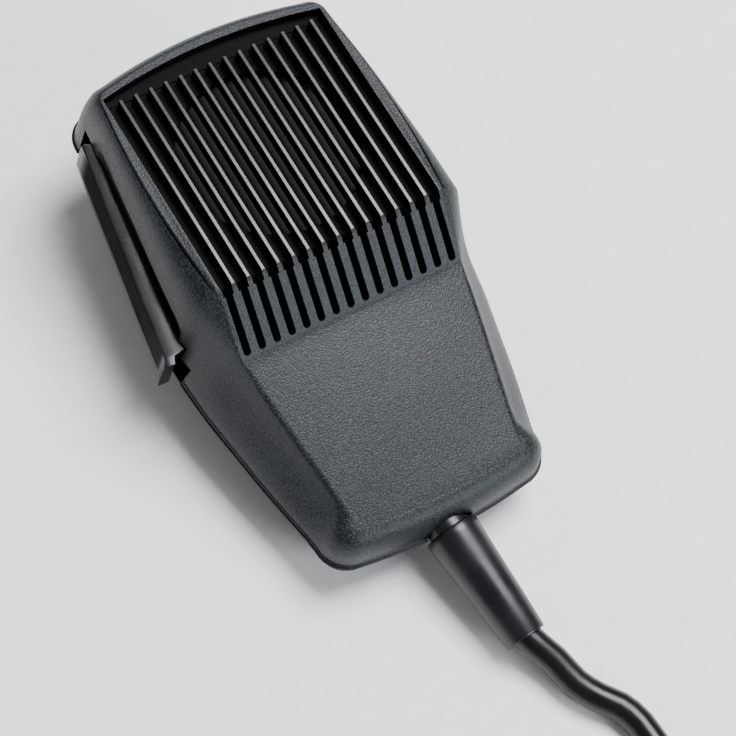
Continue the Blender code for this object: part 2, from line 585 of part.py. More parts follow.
def build_back_parts():
    """Case screws and the hang-up button with its screw and washer."""
    for number, (x, y) in enumerate(CASE_SCREWS, 1):
        length = 0.0120 if y > 0 else 0.0088
        screw(f"case_screw_{number}", (x, y, -0.0043), 0.0025, 0.0017, 0.0011, length, BRIGHT_STEEL, MIC, True)
    face = -BACK_DEPTH - 0.0003
    end = -BACK_DEPTH - BUTTON_HEIGHT
    button = [(0, end + 0.0015), (0.0015, end + 0.0015), (0.0015, face), (0.0040, face),
              (0.0040, face - 0.0024), (BUTTON_RADIUS, face - 0.0032), (BUTTON_RADIUS, end), (0, end)]
    smooth(turned("hang_up_button", button, CHROME, MIC, (0, BUTTON_Y, 0), sides=32), 30)
    inner = -BACK_DEPTH + WALL
    smooth(turned("button_washer", [(0.0036, inner + 0.0009), (0.0036, inner + 0.0003), (0.0017, inner + 0.0003),
                                    (0.0017, inner + 0.0009)], BRIGHT_STEEL, MIC, (0, BUTTON_Y, 0)), 30)
    screw("button_screw", (0, BUTTON_Y, inner + 0.0012), 0.0028, 0.0018, 0.0012, 0.0065, BRIGHT_STEEL, MIC, False)


def build_cord_entry():
    """Strain relief, cord clamp and the leads inside."""
    boot = [(0.0039, BOOT_LENGTH - 0.0003), (0.0047, 0.0016), (0.0045, 0.0010), (0.0041, 0.0008), (0.0040, -0.0030),
            (0.0040, -0.0046), (0.0047, -0.0046), (0.0047, -BOOT_INSIDE), (BOOT_BORE, -BOOT_INSIDE),
            (BOOT_BORE, BOOT_LENGTH), (0.0036, BOOT_LENGTH)]
    smooth(turned("strain_relief", boot, BLACK_RUBBER, BOOT, sides=28), 40)
    arch = [(-0.0076, CLAMP_RISE), (-0.0076, CLAMP_RISE + 0.0012), (-0.0045, CLAMP_RISE + 0.0012)]
    arch += arc_points(0.0045, 180, 0, 9) + [(0.0045, CLAMP_RISE + 0.0012), (0.0076, CLAMP_RISE + 0.0012),
                                              (0.0076, CLAMP_RISE), (0.0033, CLAMP_RISE)]
    arch += arc_points(0.0033, 0, 180, 9) + [(-0.0033, CLAMP_RISE)]
    clamp = plate("cord_clamp", arch, -0.0020, 0.0020, BRIGHT_STEEL, MIC)
    clamp.matrix_local = (Matrix.Translation((CLAMP_X, CLAMP_Y, CLAMP_AXIS))
                          @ Matrix.Rotation(math.pi / 2, 4, "X"))
    for number, x in enumerate(CLAMP_SCREWS, 1):
        hole = cutting_rod(f"clamp_hole_{number}", (x, CLAMP_Y, CLAMP_FOOT - 0.001), 0.004, 0.0010, MIC)
        apply_boolean(clamp, hole)
        screw(f"clamp_screw_{number}", (x, CLAMP_Y, CLAMP_FOOT + 0.0015), 0.0014, 0.0011, 0.0007, 0.0055,
              BRIGHT_STEEL, MIC, False)
    for name, colour, route in (
            ("capsule_lead", LEAD_RED, ((-0.0010, -0.0325, 0.0012), (0.0060, -0.0200, 0.0000),
                                        (0.0090, 0.0000, -0.0020), (0.0085, 0.0120, 0.0000),
                                        (0.0075, 0.0170, 0.0030))),
            ("switch_lead", LEAD_WHITE, ((-0.0022, -0.0325, 0.0002), (-0.0080, -0.0180, -0.0020),
                                         (-0.0120, 0.0000, -0.0040), (-0.0140, 0.0100, -0.0036),
                                         (-0.0142, 0.0125, -0.0036)))):
        tube(name, smooth_line(route, 0.0060), 0.0006, colour, MIC, resolution=1)


def arc_points(radius, start, end, count):
    """Points on an arc round the origin."""
    angles = [math.radians(start + (end - start) * step / (count - 1)) for step in range(count)]
    return [(radius * math.cos(angle), radius * math.sin(angle)) for angle in angles]


def build_plug():
    """Locking plug at the cord's far end."""
    shell = [(0.0060, 0.0090), (0.0076, 0.0120), (0.0076, 0.0250), (0.0069, 0.0254), (0.0069, 0.0380),
             (0.0053, 0.0380), (0.0053, 0.0), (0.0060, 0.0)]
    smooth(turned("plug_shell", shell[::-1], CHROME, PLUG, sides=32), 30)
    ring = [(PLUG_RING_RADIUS, 0.0375), (PLUG_RING_RADIUS, 0.0262), (0.0072, 0.0262), (0.0072, 0.0375)]
    smooth(turned("plug_locking_ring", ring, CHROME, PLUG, sides=32), 30)
    insert = smooth(turned("plug_insert", [(0, 0.0360), (0.0050, 0.0360), (0.0050, 0.0260), (0, 0.0260)],
                           SWITCH_BLACK, PLUG, sides=28), 30)
    for number in range(1, 5):
        angle = math.pi / 4 + number * math.pi / 2
        x, y = 0.0026 * math.cos(angle), 0.0026 * math.sin(angle)
        apply_boolean(insert, cutting_rod(f"contact_hole_{number}", (x, y, 0.0278), 0.0100, 0.0013, PLUG,
                                          sides=14))
        contact = [(0, 0.0300), (0.0006, 0.0300), (0.0006, 0.0355), (0.0010, 0.0355), (0.0010, 0.0283),
                   (0, 0.0283)]
        smooth(turned(f"plug_contact_{number}", contact, BRASS, PLUG, (x, y, 0), sides=12))
    grommet = [(0.0049, 0.0070), (0.0049, -0.0010), (0.0040, -0.0060), (BOOT_BORE, -0.0060), (BOOT_BORE, 0.0070)]
    smooth(turned("plug_grommet", grommet, BLACK_RUBBER, PLUG, sides=24), 30)


def rest_on_back():
    """Tilt the microphone onto its button and back edge, centred over the origin."""
    bpy.context.view_layer.update()
    graph = bpy.context.evaluated_depsgraph_get()
    tilt = Matrix.Rotation(LYING_TILT, 4, "X")
    corners = []
    for name in ("front_cover", "back_cover", "talk_lever", "hang_up_button"):
        thing = bpy.data.objects[name]
        mesh = thing.evaluated_get(graph).data
        corners += [tilt @ thing.matrix_world @ vertex.co for vertex in mesh.vertices]
    low = [min(corner[axis] for corner in corners) for axis in range(3)]
    high = [max(corner[axis] for corner in corners) for axis in range(3)]
    shift = Vector((-(low[0] + high[0]) / 2, -(low[1] + high[1]) / 2, -low[2]))
    MIC.matrix_local = Matrix.Translation(shift) @ tilt
    bpy.context.view_layer.update()


def build_cord():
    """The free cord: straight tail, curly length folded back on itself, and the plug's lead."""
    def on_boot(distance):
        return BOOT.matrix_world @ Vector((0, 0, distance))

    held = [on_boot(-0.0155), on_boot(0.0), on_boot(BOOT_LENGTH / 2)]
    free = smooth_line((on_boot(BOOT_LENGTH - 0.010), on_boot(BOOT_LENGTH + 0.0005), *TAIL_ROUTE), 0.0075)
    first = next(i for i, point in enumerate(free) if (point - on_boot(0)).length > BOOT_LENGTH)
    tube("cord_tail", held + free[first:], CORD_RADIUS, BLACK_JACKET, resolution=3)

    run = [(COIL_X, COIL_START - 0.0003 + (COIL_TURN_Y - COIL_START) * step / 4, COIL_RADIUS) for step in range(4)]
    for step in range(9):
        angle = -math.pi * step / 8
        run.append((COIL_X - COIL_TURN_RADIUS + COIL_TURN_RADIUS * math.cos(angle),
                    COIL_TURN_Y + COIL_TURN_RADIUS * math.sin(angle), COIL_RADIUS))
    end_x = COIL_X - 2 * COIL_TURN_RADIUS
    run += [(end_x, (COIL_TURN_Y + COIL_END) / 2, COIL_RADIUS), (end_x, COIL_END, COIL_RADIUS)]
    tube("curly_cord", run, COIL_RADIUS, BLACK_JACKET, resolution=4)

    def on_plug(distance):
        return PLUG.matrix_world @ Vector((0, 0, distance))

    lead = smooth_line(((end_x, COIL_END + 0.0003, 0.0028), (end_x, COIL_END + 0.0060, 0.0031),
                        on_plug(-0.0062), on_plug(0.0010), on_plug(0.0140)), 0.0060)
    tube("plug_lead", lead, CORD_RADIUS, BLACK_JACKET, resolution=3)


build_front_cover()
build_back_cover()
build_sound_parts()
build_lever()
build_switch()
build_back_parts()
build_cord_entry()
build_plug()
rest_on_back()
build_cord()
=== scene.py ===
"""Hand microphone: the visible surfaces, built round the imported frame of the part.

The microphone is shaped in its own frame: X to the right as seen from the front, Y towards the head,
Z out of the front, with the covers' seam at Z = 0. Each finished mesh is then laid in the row's frame.
"""
import json
import logging
import math
from dataclasses import dataclass
from enum import Enum
from typing import Callable, Sequence

import bmesh
import bpy
from mathutils import Matrix, Vector


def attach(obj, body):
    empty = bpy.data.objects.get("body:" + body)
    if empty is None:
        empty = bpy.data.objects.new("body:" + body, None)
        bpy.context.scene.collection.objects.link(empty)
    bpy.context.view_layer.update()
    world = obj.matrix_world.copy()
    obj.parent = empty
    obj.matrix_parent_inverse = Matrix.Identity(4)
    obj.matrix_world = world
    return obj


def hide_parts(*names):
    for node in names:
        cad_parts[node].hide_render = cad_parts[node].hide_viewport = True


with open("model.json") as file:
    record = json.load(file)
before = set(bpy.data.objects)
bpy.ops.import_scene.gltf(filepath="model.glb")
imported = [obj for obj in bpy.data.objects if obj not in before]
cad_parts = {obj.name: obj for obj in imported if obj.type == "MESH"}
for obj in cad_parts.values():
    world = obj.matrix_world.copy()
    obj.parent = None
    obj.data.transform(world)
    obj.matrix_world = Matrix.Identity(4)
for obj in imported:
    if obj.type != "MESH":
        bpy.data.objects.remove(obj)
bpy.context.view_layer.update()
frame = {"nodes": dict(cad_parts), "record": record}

LOG = logging.getLogger("hand_microphone")
MM = 0.001
NEAR = 1e-6  # two places closer than this are the same place

Point = tuple[float, float, float]
Table = Sequence[tuple[float, float]]


# ---- numbers and places -----------------------------------------------------------------------
def linear(code: str) -> tuple[float, float, float, float]:
    """Turn an sRGB hex colour into linear RGBA.

    Args:
        code: six hex digits, with or without a hash.

    Returns:
        Linear red, green and blue, with an alpha of 1.
    """
    digits = code.lstrip("#")
    shares = [int(digits[i:i + 2], 16) / 255 for i in (0, 2, 4)]
    red, green, blue = (c / 12.92 if c <= 0.04045 else ((c + 0.055) / 1.055) ** 2.4 for c in shares)
    return red, green, blue, 1.0


def smooth_read(table: Table, y: float) -> float:
    """Read a falling table of (place, value) pairs on a smooth curve.

    Args:
        table: pairs in falling order of place.
        y: the place to read.

    Returns:
        The value there; straight beyond the ends.
    """
    last = len(table) - 1
    slopes = []
    for i in range(last + 1):
        before, after = table[max(0, i - 1)], table[min(last, i + 1)]
        slopes.append((after[1] - before[1]) / (after[0] - before[0]))
    row = 0
    while row < last - 1 and y < table[row + 1][0]:
        row += 1
    (y0, v0), (y1, v1) = table[row], table[row + 1]
    if y > y0 or y < y1:
        end = 0 if y > y0 else last
        return table[end][1] + slopes[end] * (y - table[end][0])
    t, span = (y - y0) / (y1 - y0), y1 - y0
    return ((2 * t ** 3 - 3 * t ** 2 + 1) * v0 + (t ** 3 - 2 * t ** 2 + t) * span * slopes[row]
            + (3 * t ** 2 - 2 * t ** 3) * v1 + (t ** 3 - t ** 2) * span * slopes[row + 1])


def straight_read(table: Table, y: float) -> float:
    """Read a falling table of (place, value) pairs on straight lines, also beyond its ends."""
    row = 0
    while row < len(table) - 2 and y < table[row + 1][0]:
        row += 1
    (y0, v0), (y1, v1) = table[row], table[row + 1]
    return v0 + (v1 - v0) * (y - y0) / (y1 - y0)


def joint(name: str) -> dict:
    """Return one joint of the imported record."""
    return next(j for j in frame["record"]["behaviour"]["joints"] if j["name"] == name)


@dataclass(frozen=True)
class Pose:
    """Where the microphone's own frame lies in the row's frame, read from the lever's joint."""

    pivot: Point = (-0.0215, 0.0375, 0.0035)

    def matrix(self) -> Matrix:
        """Return the matrix from the microphone's frame to the row's."""
        hinge = joint("talk_lever_hinge")
        axis = Vector(hinge["axis"])
        tilt = Matrix.Rotation(math.atan2(-axis.y, axis.z), 4, "X")
        return Matrix.Translation(Vector(hinge["pos_m"]) - tilt @ Vector(self.pivot)) @ tilt


MIC = Pose().matrix()


# ---- mesh work ---------------------------------------------------------------------------------
def deselect() -> None:
    """Leave object mode ready, with nothing selected."""
    if bpy.context.mode != "OBJECT":
        bpy.ops.object.mode_set(mode="OBJECT")
    bpy.ops.object.select_all(action="DESELECT")


def make_active(thing: bpy.types.Object) -> bpy.types.Object:
    """Select one object alone and make it active."""
    deselect()
    thing.select_set(True)
    bpy.context.view_layer.objects.active = thing
    return thing


def named(name: str) -> bpy.types.Object:
    """Name the object that was just added, and its data, and return it."""
    thing = bpy.context.object
    thing.name = thing.data.name = name
    return thing


def close_up() -> None:
    """Turn the edited mesh's faces outwards and go back to object mode."""
    bpy.ops.mesh.select_all(action="SELECT")
    bpy.ops.mesh.normals_make_consistent(inside=False)
    bpy.ops.object.mode_set(mode="OBJECT")


def pick(thing: bpy.types.Object, kind: str, test: Callable) -> None:
    """Select the vertices, edges or faces that pass a test, in edit mode.

    Args:
        thing: the active object, in edit mode.
        kind: VERT, EDGE or FACE.
        test: takes the bmesh element and says whether it is selected.
    """
    bpy.ops.mesh.select_mode(type=kind)
    bpy.ops.mesh.select_all(action="DESELECT")
    shape = bmesh.from_edit_mesh(thing.data)
    group = {"VERT": shape.verts, "EDGE": shape.edges, "FACE": shape.faces}[kind]
    for element in group:
        if test(element):
            element.select_set(True)
    shape.select_flush_mode()
    bmesh.update_edit_mesh(thing.data)


def apply(thing: bpy.types.Object, kind: str, **settings: object) -> bpy.types.Object:
    """Add a modifier with its settings and apply it.

    Args:
        thing: the object to change.
        kind: the modifier's type.
        **settings: its properties.

    Returns:
        The same object.
    """
    step = thing.modifiers.new(kind.lower(), kind)
    for name, value in settings.items():
        setattr(step, name, value)
    make_active(thing)
    bpy.ops.object.modifier_apply(modifier=step.name)
    return thing


def combine(thing: bpy.types.Object, other: bpy.types.Object, operation: str = "DIFFERENCE") -> None:
    """Cut or join an object by another, which is then removed."""
    apply(thing, "BOOLEAN", object=other, operation=operation, solver="EXACT", material_mode="TRANSFER")
    bpy.data.objects.remove(other, do_unlink=True)


def stacked_rings(name: str, rings: Sequence[Sequence[Point]], start: bool,
                  end: bool) -> bpy.types.Object:
    """Extrude a circle through a stack of rings, each with the same number of points.

    Args:
        name: the piece's name.
        rings: the rings' points, in order, each the same way round.
        start: whether the first ring is filled.
        end: whether the last ring is filled.

    Returns:
        The new object, with its faces turned outwards.
    """
    deselect()
    count = len(rings[0])
    bpy.ops.mesh.primitive_circle_add(vertices=count, radius=1.0)
    thing = named(name)
    for vertex, point in zip(thing.data.vertices, rings[0]):
        vertex.co = point
    bpy.ops.object.mode_set(mode="EDIT")
    order = list(range(count))
    for ring in rings[1:]:
        bpy.ops.mesh.select_mode(type="VERT")
        shape = bmesh.from_edit_mesh(thing.data)
        shape.verts.ensure_lookup_table()
        edges = {frozenset((order[i], order[(i + 1) % count])) for i in range(count)}
        pick(thing, "EDGE", lambda edge: frozenset(v.index for v in edge.verts) in edges)
        bpy.ops.mesh.extrude_edges_move()
        shape = bmesh.from_edit_mesh(thing.data)
        shape.verts.ensure_lookup_table()
        shape.verts.index_update()
        fresh = {}
        for vertex in shape.verts:
            if vertex.select:
                old = next(e.other_vert(vertex) for e in vertex.link_edges if not e.other_vert(vertex).select)
                fresh[old.index] = vertex
        chosen = [fresh[index] for index in order]
        for vertex, point in zip(chosen, ring):
            vertex.co = point
        order = [vertex.index for vertex in chosen]
        bmesh.update_edit_mesh(thing.data)
    for wanted, indices in ((start, set(range(count))), (end, set(order))):
        if wanted:
            pick(thing, "VERT", lambda vertex: vertex.index in indices)
            bpy.ops.mesh.edge_face_add()
    close_up()
    return thing


def block(name: str, low: Point, high: Point) -> bpy.types.Object:
    """Add a cube primitive between two corners, with its scale applied."""
    deselect()
    middle = [(a + b) / 2 for a, b in zip(low, high)]
    bpy.ops.mesh.primitive_cube_add(size=1.0, location=middle)
    thing = named(name)
    thing.scale = [b - a for a, b in zip(low, high)]
    bpy.ops.object.transform_apply(location=True, rotation=True, scale=True)
    return thing


def rod(name: str, base: Point, length: float, radius: float, sides: int = 48) -> bpy.types.Object:
    """Add a cylinder primitive that starts at base and runs up Z."""
    deselect()
    bpy.ops.mesh.primitive_cylinder_add(vertices=sides, radius=radius, depth=length,
                                        location=(base[0], base[1], base[2] + length / 2))
    thing = named(name)
    bpy.ops.object.transform_apply(location=True, rotation=True, scale=True)
    return thing


def spun(name: str, profile: Sequence[tuple[float, float]], sides: int = 64) -> bpy.types.Object:
    """Turn a profile of (radius, height) pairs round Z.

    Args:
        name: the piece's name.
        profile: the pairs; a profile off the axis is a closed loop.
        sides: the number of steps round.

    Returns:
        The new closed object.
    """
    angles = [2 * math.pi * step / sides for step in range(sides)]
    rings = []
    for radius, height in profile:
        reach = max(radius, NEAR / 10)
        rings.append([(reach * math.cos(angle), reach * math.sin(angle), height) for angle in angles])
    if profile[0][0] > 0:
        rings.append(rings[0])
    thing = stacked_rings(name, rings, False, False)
    make_active(thing)
    bpy.ops.object.mode_set(mode="EDIT")
    bpy.ops.mesh.select_all(action="SELECT")
    bpy.ops.mesh.remove_doubles(threshold=2 * NEAR)
    close_up()
    return thing


def place(thing: bpy.types.Object, matrix: Matrix, angle: float = 40) -> bpy.types.Object:
    """Lay a finished mesh in the row's frame and shade it smooth.

    Args:
        thing: the object, whose own transform is applied first.
        matrix: from the mesh's frame to the row's.
        angle: edges sharper than this many degrees stay sharp.

    Returns:
        The same object, at the origin.
    """
    thing.data.transform(matrix @ thing.matrix_basis)
    thing.matrix_basis = Matrix.Identity(4)
    make_active(thing)
    bpy.ops.object.shade_smooth_by_angle(angle=math.radians(angle))
    return thing


# ---- finishes ----------------------------------------------------------------------------------
def add(tree: bpy.types.NodeTree, kind: str, settings: dict | None = None,
        links: dict | None = None) -> bpy.types.Node:
    """Add a shader node with its settings and its links.

    Args:
        tree: the material's node tree.
        kind: the node's type name.
        settings: attribute names, or input names, with their values.
        links: input names with the output sockets that feed them.

    Returns:
        The new node.
    """
    node = tree.nodes.new(kind)
    for name, value in (settings or {}).items():
        if isinstance(name, int) or name in node.inputs:
            node.inputs[name].default_value = value
        else:
            setattr(node, name, value)
    for name, socket in (links or {}).items():
        tree.links.new(socket, node.inputs[name])
    return node


def stops(node: bpy.types.Node, colours: Sequence[tuple[float, str]]) -> bpy.types.Node:
    """Set a colour ramp's stops from places and hex colours, and return the node."""
    ramp = node.color_ramp
    while len(ramp.elements) > 1:
        ramp.elements.remove(ramp.elements[-1])
    ramp.elements[0].position, ramp.elements[0].color = colours[0][0], linear(colours[0][1])
    for place_on_ramp, code in colours[1:]:
        ramp.elements.new(place_on_ramp).color = linear(code)
    return node


@dataclass(frozen=True)
class Finish:
    """A finish: its name, its pair of colours, and how rough and how grained it is.

    Its lengths are in millimetres, and its colours are sRGB hex codes.
    """

    name: str
    dark: str
    light: str
    roughness: float
    roughness_spread: float = 0.05
    metallic: float = 0.0
    ior: float = 1.5
    grain_mm: float = 0.5
    grain_height_mm: float = 0.0
    mottle_mm: float = 6.0
    sheen: float = 0.0

    def tree(self) -> tuple[bpy.types.Material, bpy.types.NodeTree, bpy.types.Node]:
        """Return a new material, its tree and its shader, with the even values set."""
        material = bpy.data.materials.new(self.name)
        material.use_nodes = True
        tree = material.node_tree
        shader = tree.nodes["Principled BSDF"]
        shader.inputs["Metallic"].default_value = self.metallic
        shader.inputs["IOR"].default_value = self.ior
        shader.inputs["Sheen Weight"].default_value = self.sheen
        return material, tree, shader

    def noise(self, tree: bpy.types.NodeTree, size_mm: float, detail: float = 2.0) -> bpy.types.Node:
        """Add noise whose features are some millimetres across, on object coordinates."""
        place_of = add(tree, "ShaderNodeTexCoord").outputs["Object"]
        return add(tree, "ShaderNodeTexNoise", {"Scale": 1 / (size_mm * MM), "Detail": detail},
                   {"Vector": place_of})

    def colour(self, shader: bpy.types.Node, source: bpy.types.NodeSocket, low: float, high: float) -> None:
        """Colour the shader from dark to light as the source rises from low to high."""
        ramp = add(shader.id_data, "ShaderNodeValToRGB", None, {"Fac": source})
        stops(ramp, ((low, self.dark), (high, self.light)))
        shader.id_data.links.new(ramp.outputs["Color"], shader.inputs["Base Color"])

    def roughen(self, shader: bpy.types.Node, source: bpy.types.NodeSocket, low: float, high: float) -> None:
        """Spread the roughness round its middle as the source rises from low to high."""
        rough = add(shader.id_data, "ShaderNodeMapRange",
                    {"From Min": low, "From Max": high, "To Min": self.roughness - self.roughness_spread,
                     "To Max": self.roughness + self.roughness_spread}, {"Value": source})
        shader.id_data.links.new(rough.outputs["Result"], shader.inputs["Roughness"])

    def emboss(self, shader: bpy.types.Node, source: bpy.types.NodeSocket, height_mm: float,
               strength: float = 1.0) -> None:
        """Raise the surface where the source is high, by some millimetres."""
        bump = add(shader.id_data, "ShaderNodeBump", {"Distance": height_mm * MM, "Strength": strength},
                   {"Height": source})
        shader.id_data.links.new(bump.outputs["Normal"], shader.inputs["Normal"])

    def make(self) -> bpy.types.Material:
        """Build the material: mottled colour, varied roughness and raised grain."""
        material, tree, shader = self.tree()
        mottle = self.noise(tree, self.mottle_mm, 4.0)
        grain = self.noise(tree, self.grain_mm)
        both = add(tree, "ShaderNodeMath", {"operation": "MULTIPLY_ADD", 1: 0.3},
                   {0: mottle.outputs["Fac"], 2: grain.outputs["Fac"]})
        self.colour(shader, both.outputs[0], 0.45, 0.88)
        self.roughen(shader, mottle.outputs["Fac"], 0.3, 0.7)
        if self.grain_height_mm:
            self.emboss(shader, grain.outputs["Fac"], self.grain_height_mm)
        return material


@dataclass(frozen=True)
class GrainedAbsPaintedSparkle(Finish):
    """Moulded ABS with a spark-eroded grain of small pits and peaks; the peaks are coloured lighter, a
    painted sparkle.
    """

    def make(self) -> bpy.types.Material:
        """Build the material: cells of grain over fine noise, with the peaks coloured lighter as painted
        sparkle.
        """
        material, tree, shader = self.tree()
        place_of = add(tree, "ShaderNodeTexCoord").outputs["Object"]
        cells = add(tree, "ShaderNodeTexVoronoi",
                    {"feature": "SMOOTH_F1", "Scale": 1 / (self.grain_mm * MM), "Smoothness": 0.6},
                    {"Vector": place_of})
        fine = self.noise(tree, self.grain_mm * 0.8, 3.0)
        mottle = self.noise(tree, self.mottle_mm, 3.0)
        height = add(tree, "ShaderNodeMath", {"operation": "SUBTRACT"},
                     {0: fine.outputs["Fac"], 1: cells.outputs["Distance"]})
        # Colour from the random mottle plus the grain's height, so that the peaks get a painted sparkle.
        shade = add(tree, "ShaderNodeMath", {"operation": "MULTIPLY_ADD", 1: 0.25},
                    {0: mottle.outputs["Fac"], 2: height.outputs[0]})
        self.colour(shader, shade.outputs[0], 0.12, 0.55)
        self.roughen(shader, fine.outputs["Fac"], 0.35, 0.65)
        self.emboss(shader, height.outputs[0], self.grain_height_mm)
        return material


@dataclass(frozen=True)
class WovenCloth(Finish):
    """Plain-woven acoustic cloth: crossed threads that stand up from each other."""

    thread_mm: float = 0.35
    thread_height_mm: float = 0.05

    def make(self) -> bpy.types.Material:
        """Build the material: two crossed waves, for colour and height."""
        material, tree, shader = self.tree()
        place_of = add(tree, "ShaderNodeTexCoord").outputs["Object"]
        waves = [add(tree, "ShaderNodeTexWave",
                     {"bands_direction": way, "Scale": math.pi / (self.thread_mm * MM) / 10,
                      "Distortion": 0.3},
                     {"Vector": place_of}) for way in ("X", "Y")]
        weave = add(tree, "ShaderNodeMath", {"operation": "MAXIMUM"},
                    {0: waves[0].outputs["Fac"], 1: waves[1].outputs["Fac"]})
        self.colour(shader, weave.outputs[0], 0.2, 0.9)
        self.emboss(shader, weave.outputs[0], self.thread_height_mm, 0.8)
        shader.inputs["Roughness"].default_value = self.roughness
        return material


class Finishes(Enum):
    """Every finish on the microphone, made once."""

    # Spark-eroded black ABS with grain about a third of a millimetre across, drawn coarser than real grain so
    # that it shows;
    # painted sparkle colours the grain's peaks from near black up to slate grey.
    COVER = GrainedAbsPaintedSparkle("spark_eroded_abs_painted_sparkle", "#07090a", "#2b363b", 0.46, 0.12, ior=1.42, grain_mm=0.32,
                       grain_height_mm=0.044, mottle_mm=7.0)
    # Painted shade: the same ABS coloured nearly black and made dull, on the walls of the slots, recesses,
    # holes and hollows.
    RIB = Finish("painted_shade_slot_wall_abs", "#020203", "#050606", 0.65, 0.05, ior=1.18, grain_mm=0.7,
                 grain_height_mm=0.006)
    # The ribs' crests, polished where the tool was stoned: a thin bright line along each rib.
    CREST = Finish("polished_crest_abs", "#0a0c0d", "#15191a", 0.30, 0.05, grain_mm=0.7,
                   grain_height_mm=0.006)
    # Satin black ABS of the talk lever, rubbed a little by the thumb.
    LEVER = Finish("satin_lever_abs", "#050609", "#0a0d13", 0.29, 0.05, ior=1.42, grain_mm=0.35,
                   grain_height_mm=0.008)
    # Soft PVC of the strain relief: even black, with a broad bluish sheen.
    BOOT = Finish("soft_pvc_boot", "#040608", "#0a0e11", 0.34, 0.06, ior=1.48, grain_mm=1.2,
                  grain_height_mm=0.010)
    # Extruded polyurethane jacket: smooth, with a sharper highlight than the boot.
    CORD = Finish("extruded_cord_jacket", "#030405", "#070809", 0.30, 0.05, ior=1.42, grain_mm=2.5,
                  grain_height_mm=0.02)
    CLOTH = WovenCloth("woven_screen_cloth", "#020203", "#0c0c0e", 0.95, sheen=0.2)
    RUBBER = Finish("moulded_rubber", "#0c0d0e", "#17191a", 0.60, 0.08, grain_mm=0.4, grain_height_mm=0.01)
    STEEL = Finish("zinc_plated_steel", "#8d9093", "#b4b7b9", 0.30, 0.08, 1.0, grain_mm=0.8,
                   grain_height_mm=0.004)
    CHROME = Finish("nickel_chrome_plate", "#b5b8ba", "#d6d8da", 0.13, 0.05, 1.0, grain_mm=1.5,
                    grain_height_mm=0.002)
    BRASS = Finish("turned_brass", "#a47a3a", "#cfa65c", 0.28, 0.06, 1.0, grain_mm=0.6, grain_height_mm=0.003)
    ALUMINIUM = Finish("satin_aluminium", "#9a9da0", "#bfc2c5", 0.38, 0.06, 1.0, grain_mm=0.5,
                       grain_height_mm=0.004)
    BOARD = Finish("paper_phenolic_board", "#5a3a17", "#7c5426", 0.55, 0.08, grain_mm=0.9,
                   grain_height_mm=0.01)
    SWITCH = Finish("moulded_switch_resin", "#111214", "#1f2124", 0.40, 0.06, grain_mm=0.5,
                    grain_height_mm=0.006)
    RED_LEAD = Finish("red_lead_pvc", "#7d1712", "#9c231c", 0.42, 0.05, grain_mm=1.0, grain_height_mm=0.008)
    WHITE_LEAD = Finish("white_lead_pvc", "#b9b8b0", "#d8d7cf", 0.42, 0.05, grain_mm=1.0,
                        grain_height_mm=0.008)
    FLOOR = Finish("matt_paper_floor", "#f2f2f1", "#f7f7f6", 0.90, 0.03, grain_mm=3.0)

    def material(self) -> bpy.types.Material:
        """Return this finish's material, making it the first time."""
        return bpy.data.materials.get(self.value.name) or self.value.make()


def dress(thing: bpy.types.Object, *finishes: Finishes) -> bpy.types.Object:
    """Give a piece its materials, the first on every face."""
    thing.data.materials.clear()
    for finish in finishes:
        thing.data.materials.append(finish.material())
    return thing


def hand_over(thing: bpy.types.Object, body: str, slot: str, *nodes: str) -> bpy.types.Object:
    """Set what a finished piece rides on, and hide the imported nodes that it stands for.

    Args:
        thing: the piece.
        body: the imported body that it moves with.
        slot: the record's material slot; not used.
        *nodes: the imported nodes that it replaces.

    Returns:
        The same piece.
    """
    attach(thing, body)
    if nodes:
        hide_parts(*nodes)
    return thing


# ---- the covers --------------------------------------------------------------------------------
@dataclass(frozen=True)
class Outline:
    """A cover's outline at one height: half widths down its length, and its bowed ends."""

    widths: Table
    top: float
    bottom: float
    bow_top: float
    bow_bottom: float
    corner_top: float
    corner_bottom: float

    def inset(self, by: float) -> "Outline":
        """Return the same outline, smaller all round."""
        return Outline([(y, width - by) for y, width in self.widths], self.top - by, self.bottom + by,
                       self.bow_top, self.bow_bottom, self.corner_top, self.corner_bottom)

    def ring(self, breaks: Sequence[float]) -> list[tuple[float, float]]:
        """Return the closed outline, from the top's middle round by the right.

        Args:
            breaks: two places down the length that get a point of their own.

        Returns:
            The points, with the same number for every outline.
        """
        def corner(end: float, bow: float, radius: float, sign: int) -> tuple[list, float]:
            """Return half an end, from its middle round its corner, and the corner centre's place."""
            centre_x = smooth_read(self.widths, end - sign * radius) - radius
            edge = lambda x: end + sign * bow * (1 - (x / smooth_read(self.widths, end)) ** 2)
            centre_y = edge(centre_x) - sign * radius
            points = [(centre_x * step / 8, edge(centre_x * step / 8)) for step in range(8)]
            for step in range(9):
                angle = math.radians(88 - 11 * step)
                points.append((centre_x + radius * math.cos(angle),
                               centre_y + sign * radius * math.sin(angle)))
            return points, centre_y

        upper, high = corner(self.top, self.bow_top, self.corner_top, 1)
        lower, low = corner(self.bottom, self.bow_bottom, self.corner_bottom, -1)
        spans = ((high, breaks[0], 14), (breaks[0], breaks[1], 4), (breaks[1], low, 12))
        sides = [a + (b - a) * step / count for a, b, count in spans for step in range(count)][1:]
        right = upper + [(smooth_read(self.widths, y), y) for y in sides] + lower[::-1]
        return right + [(-x, y) for x, y in right[-2:0:-1]]


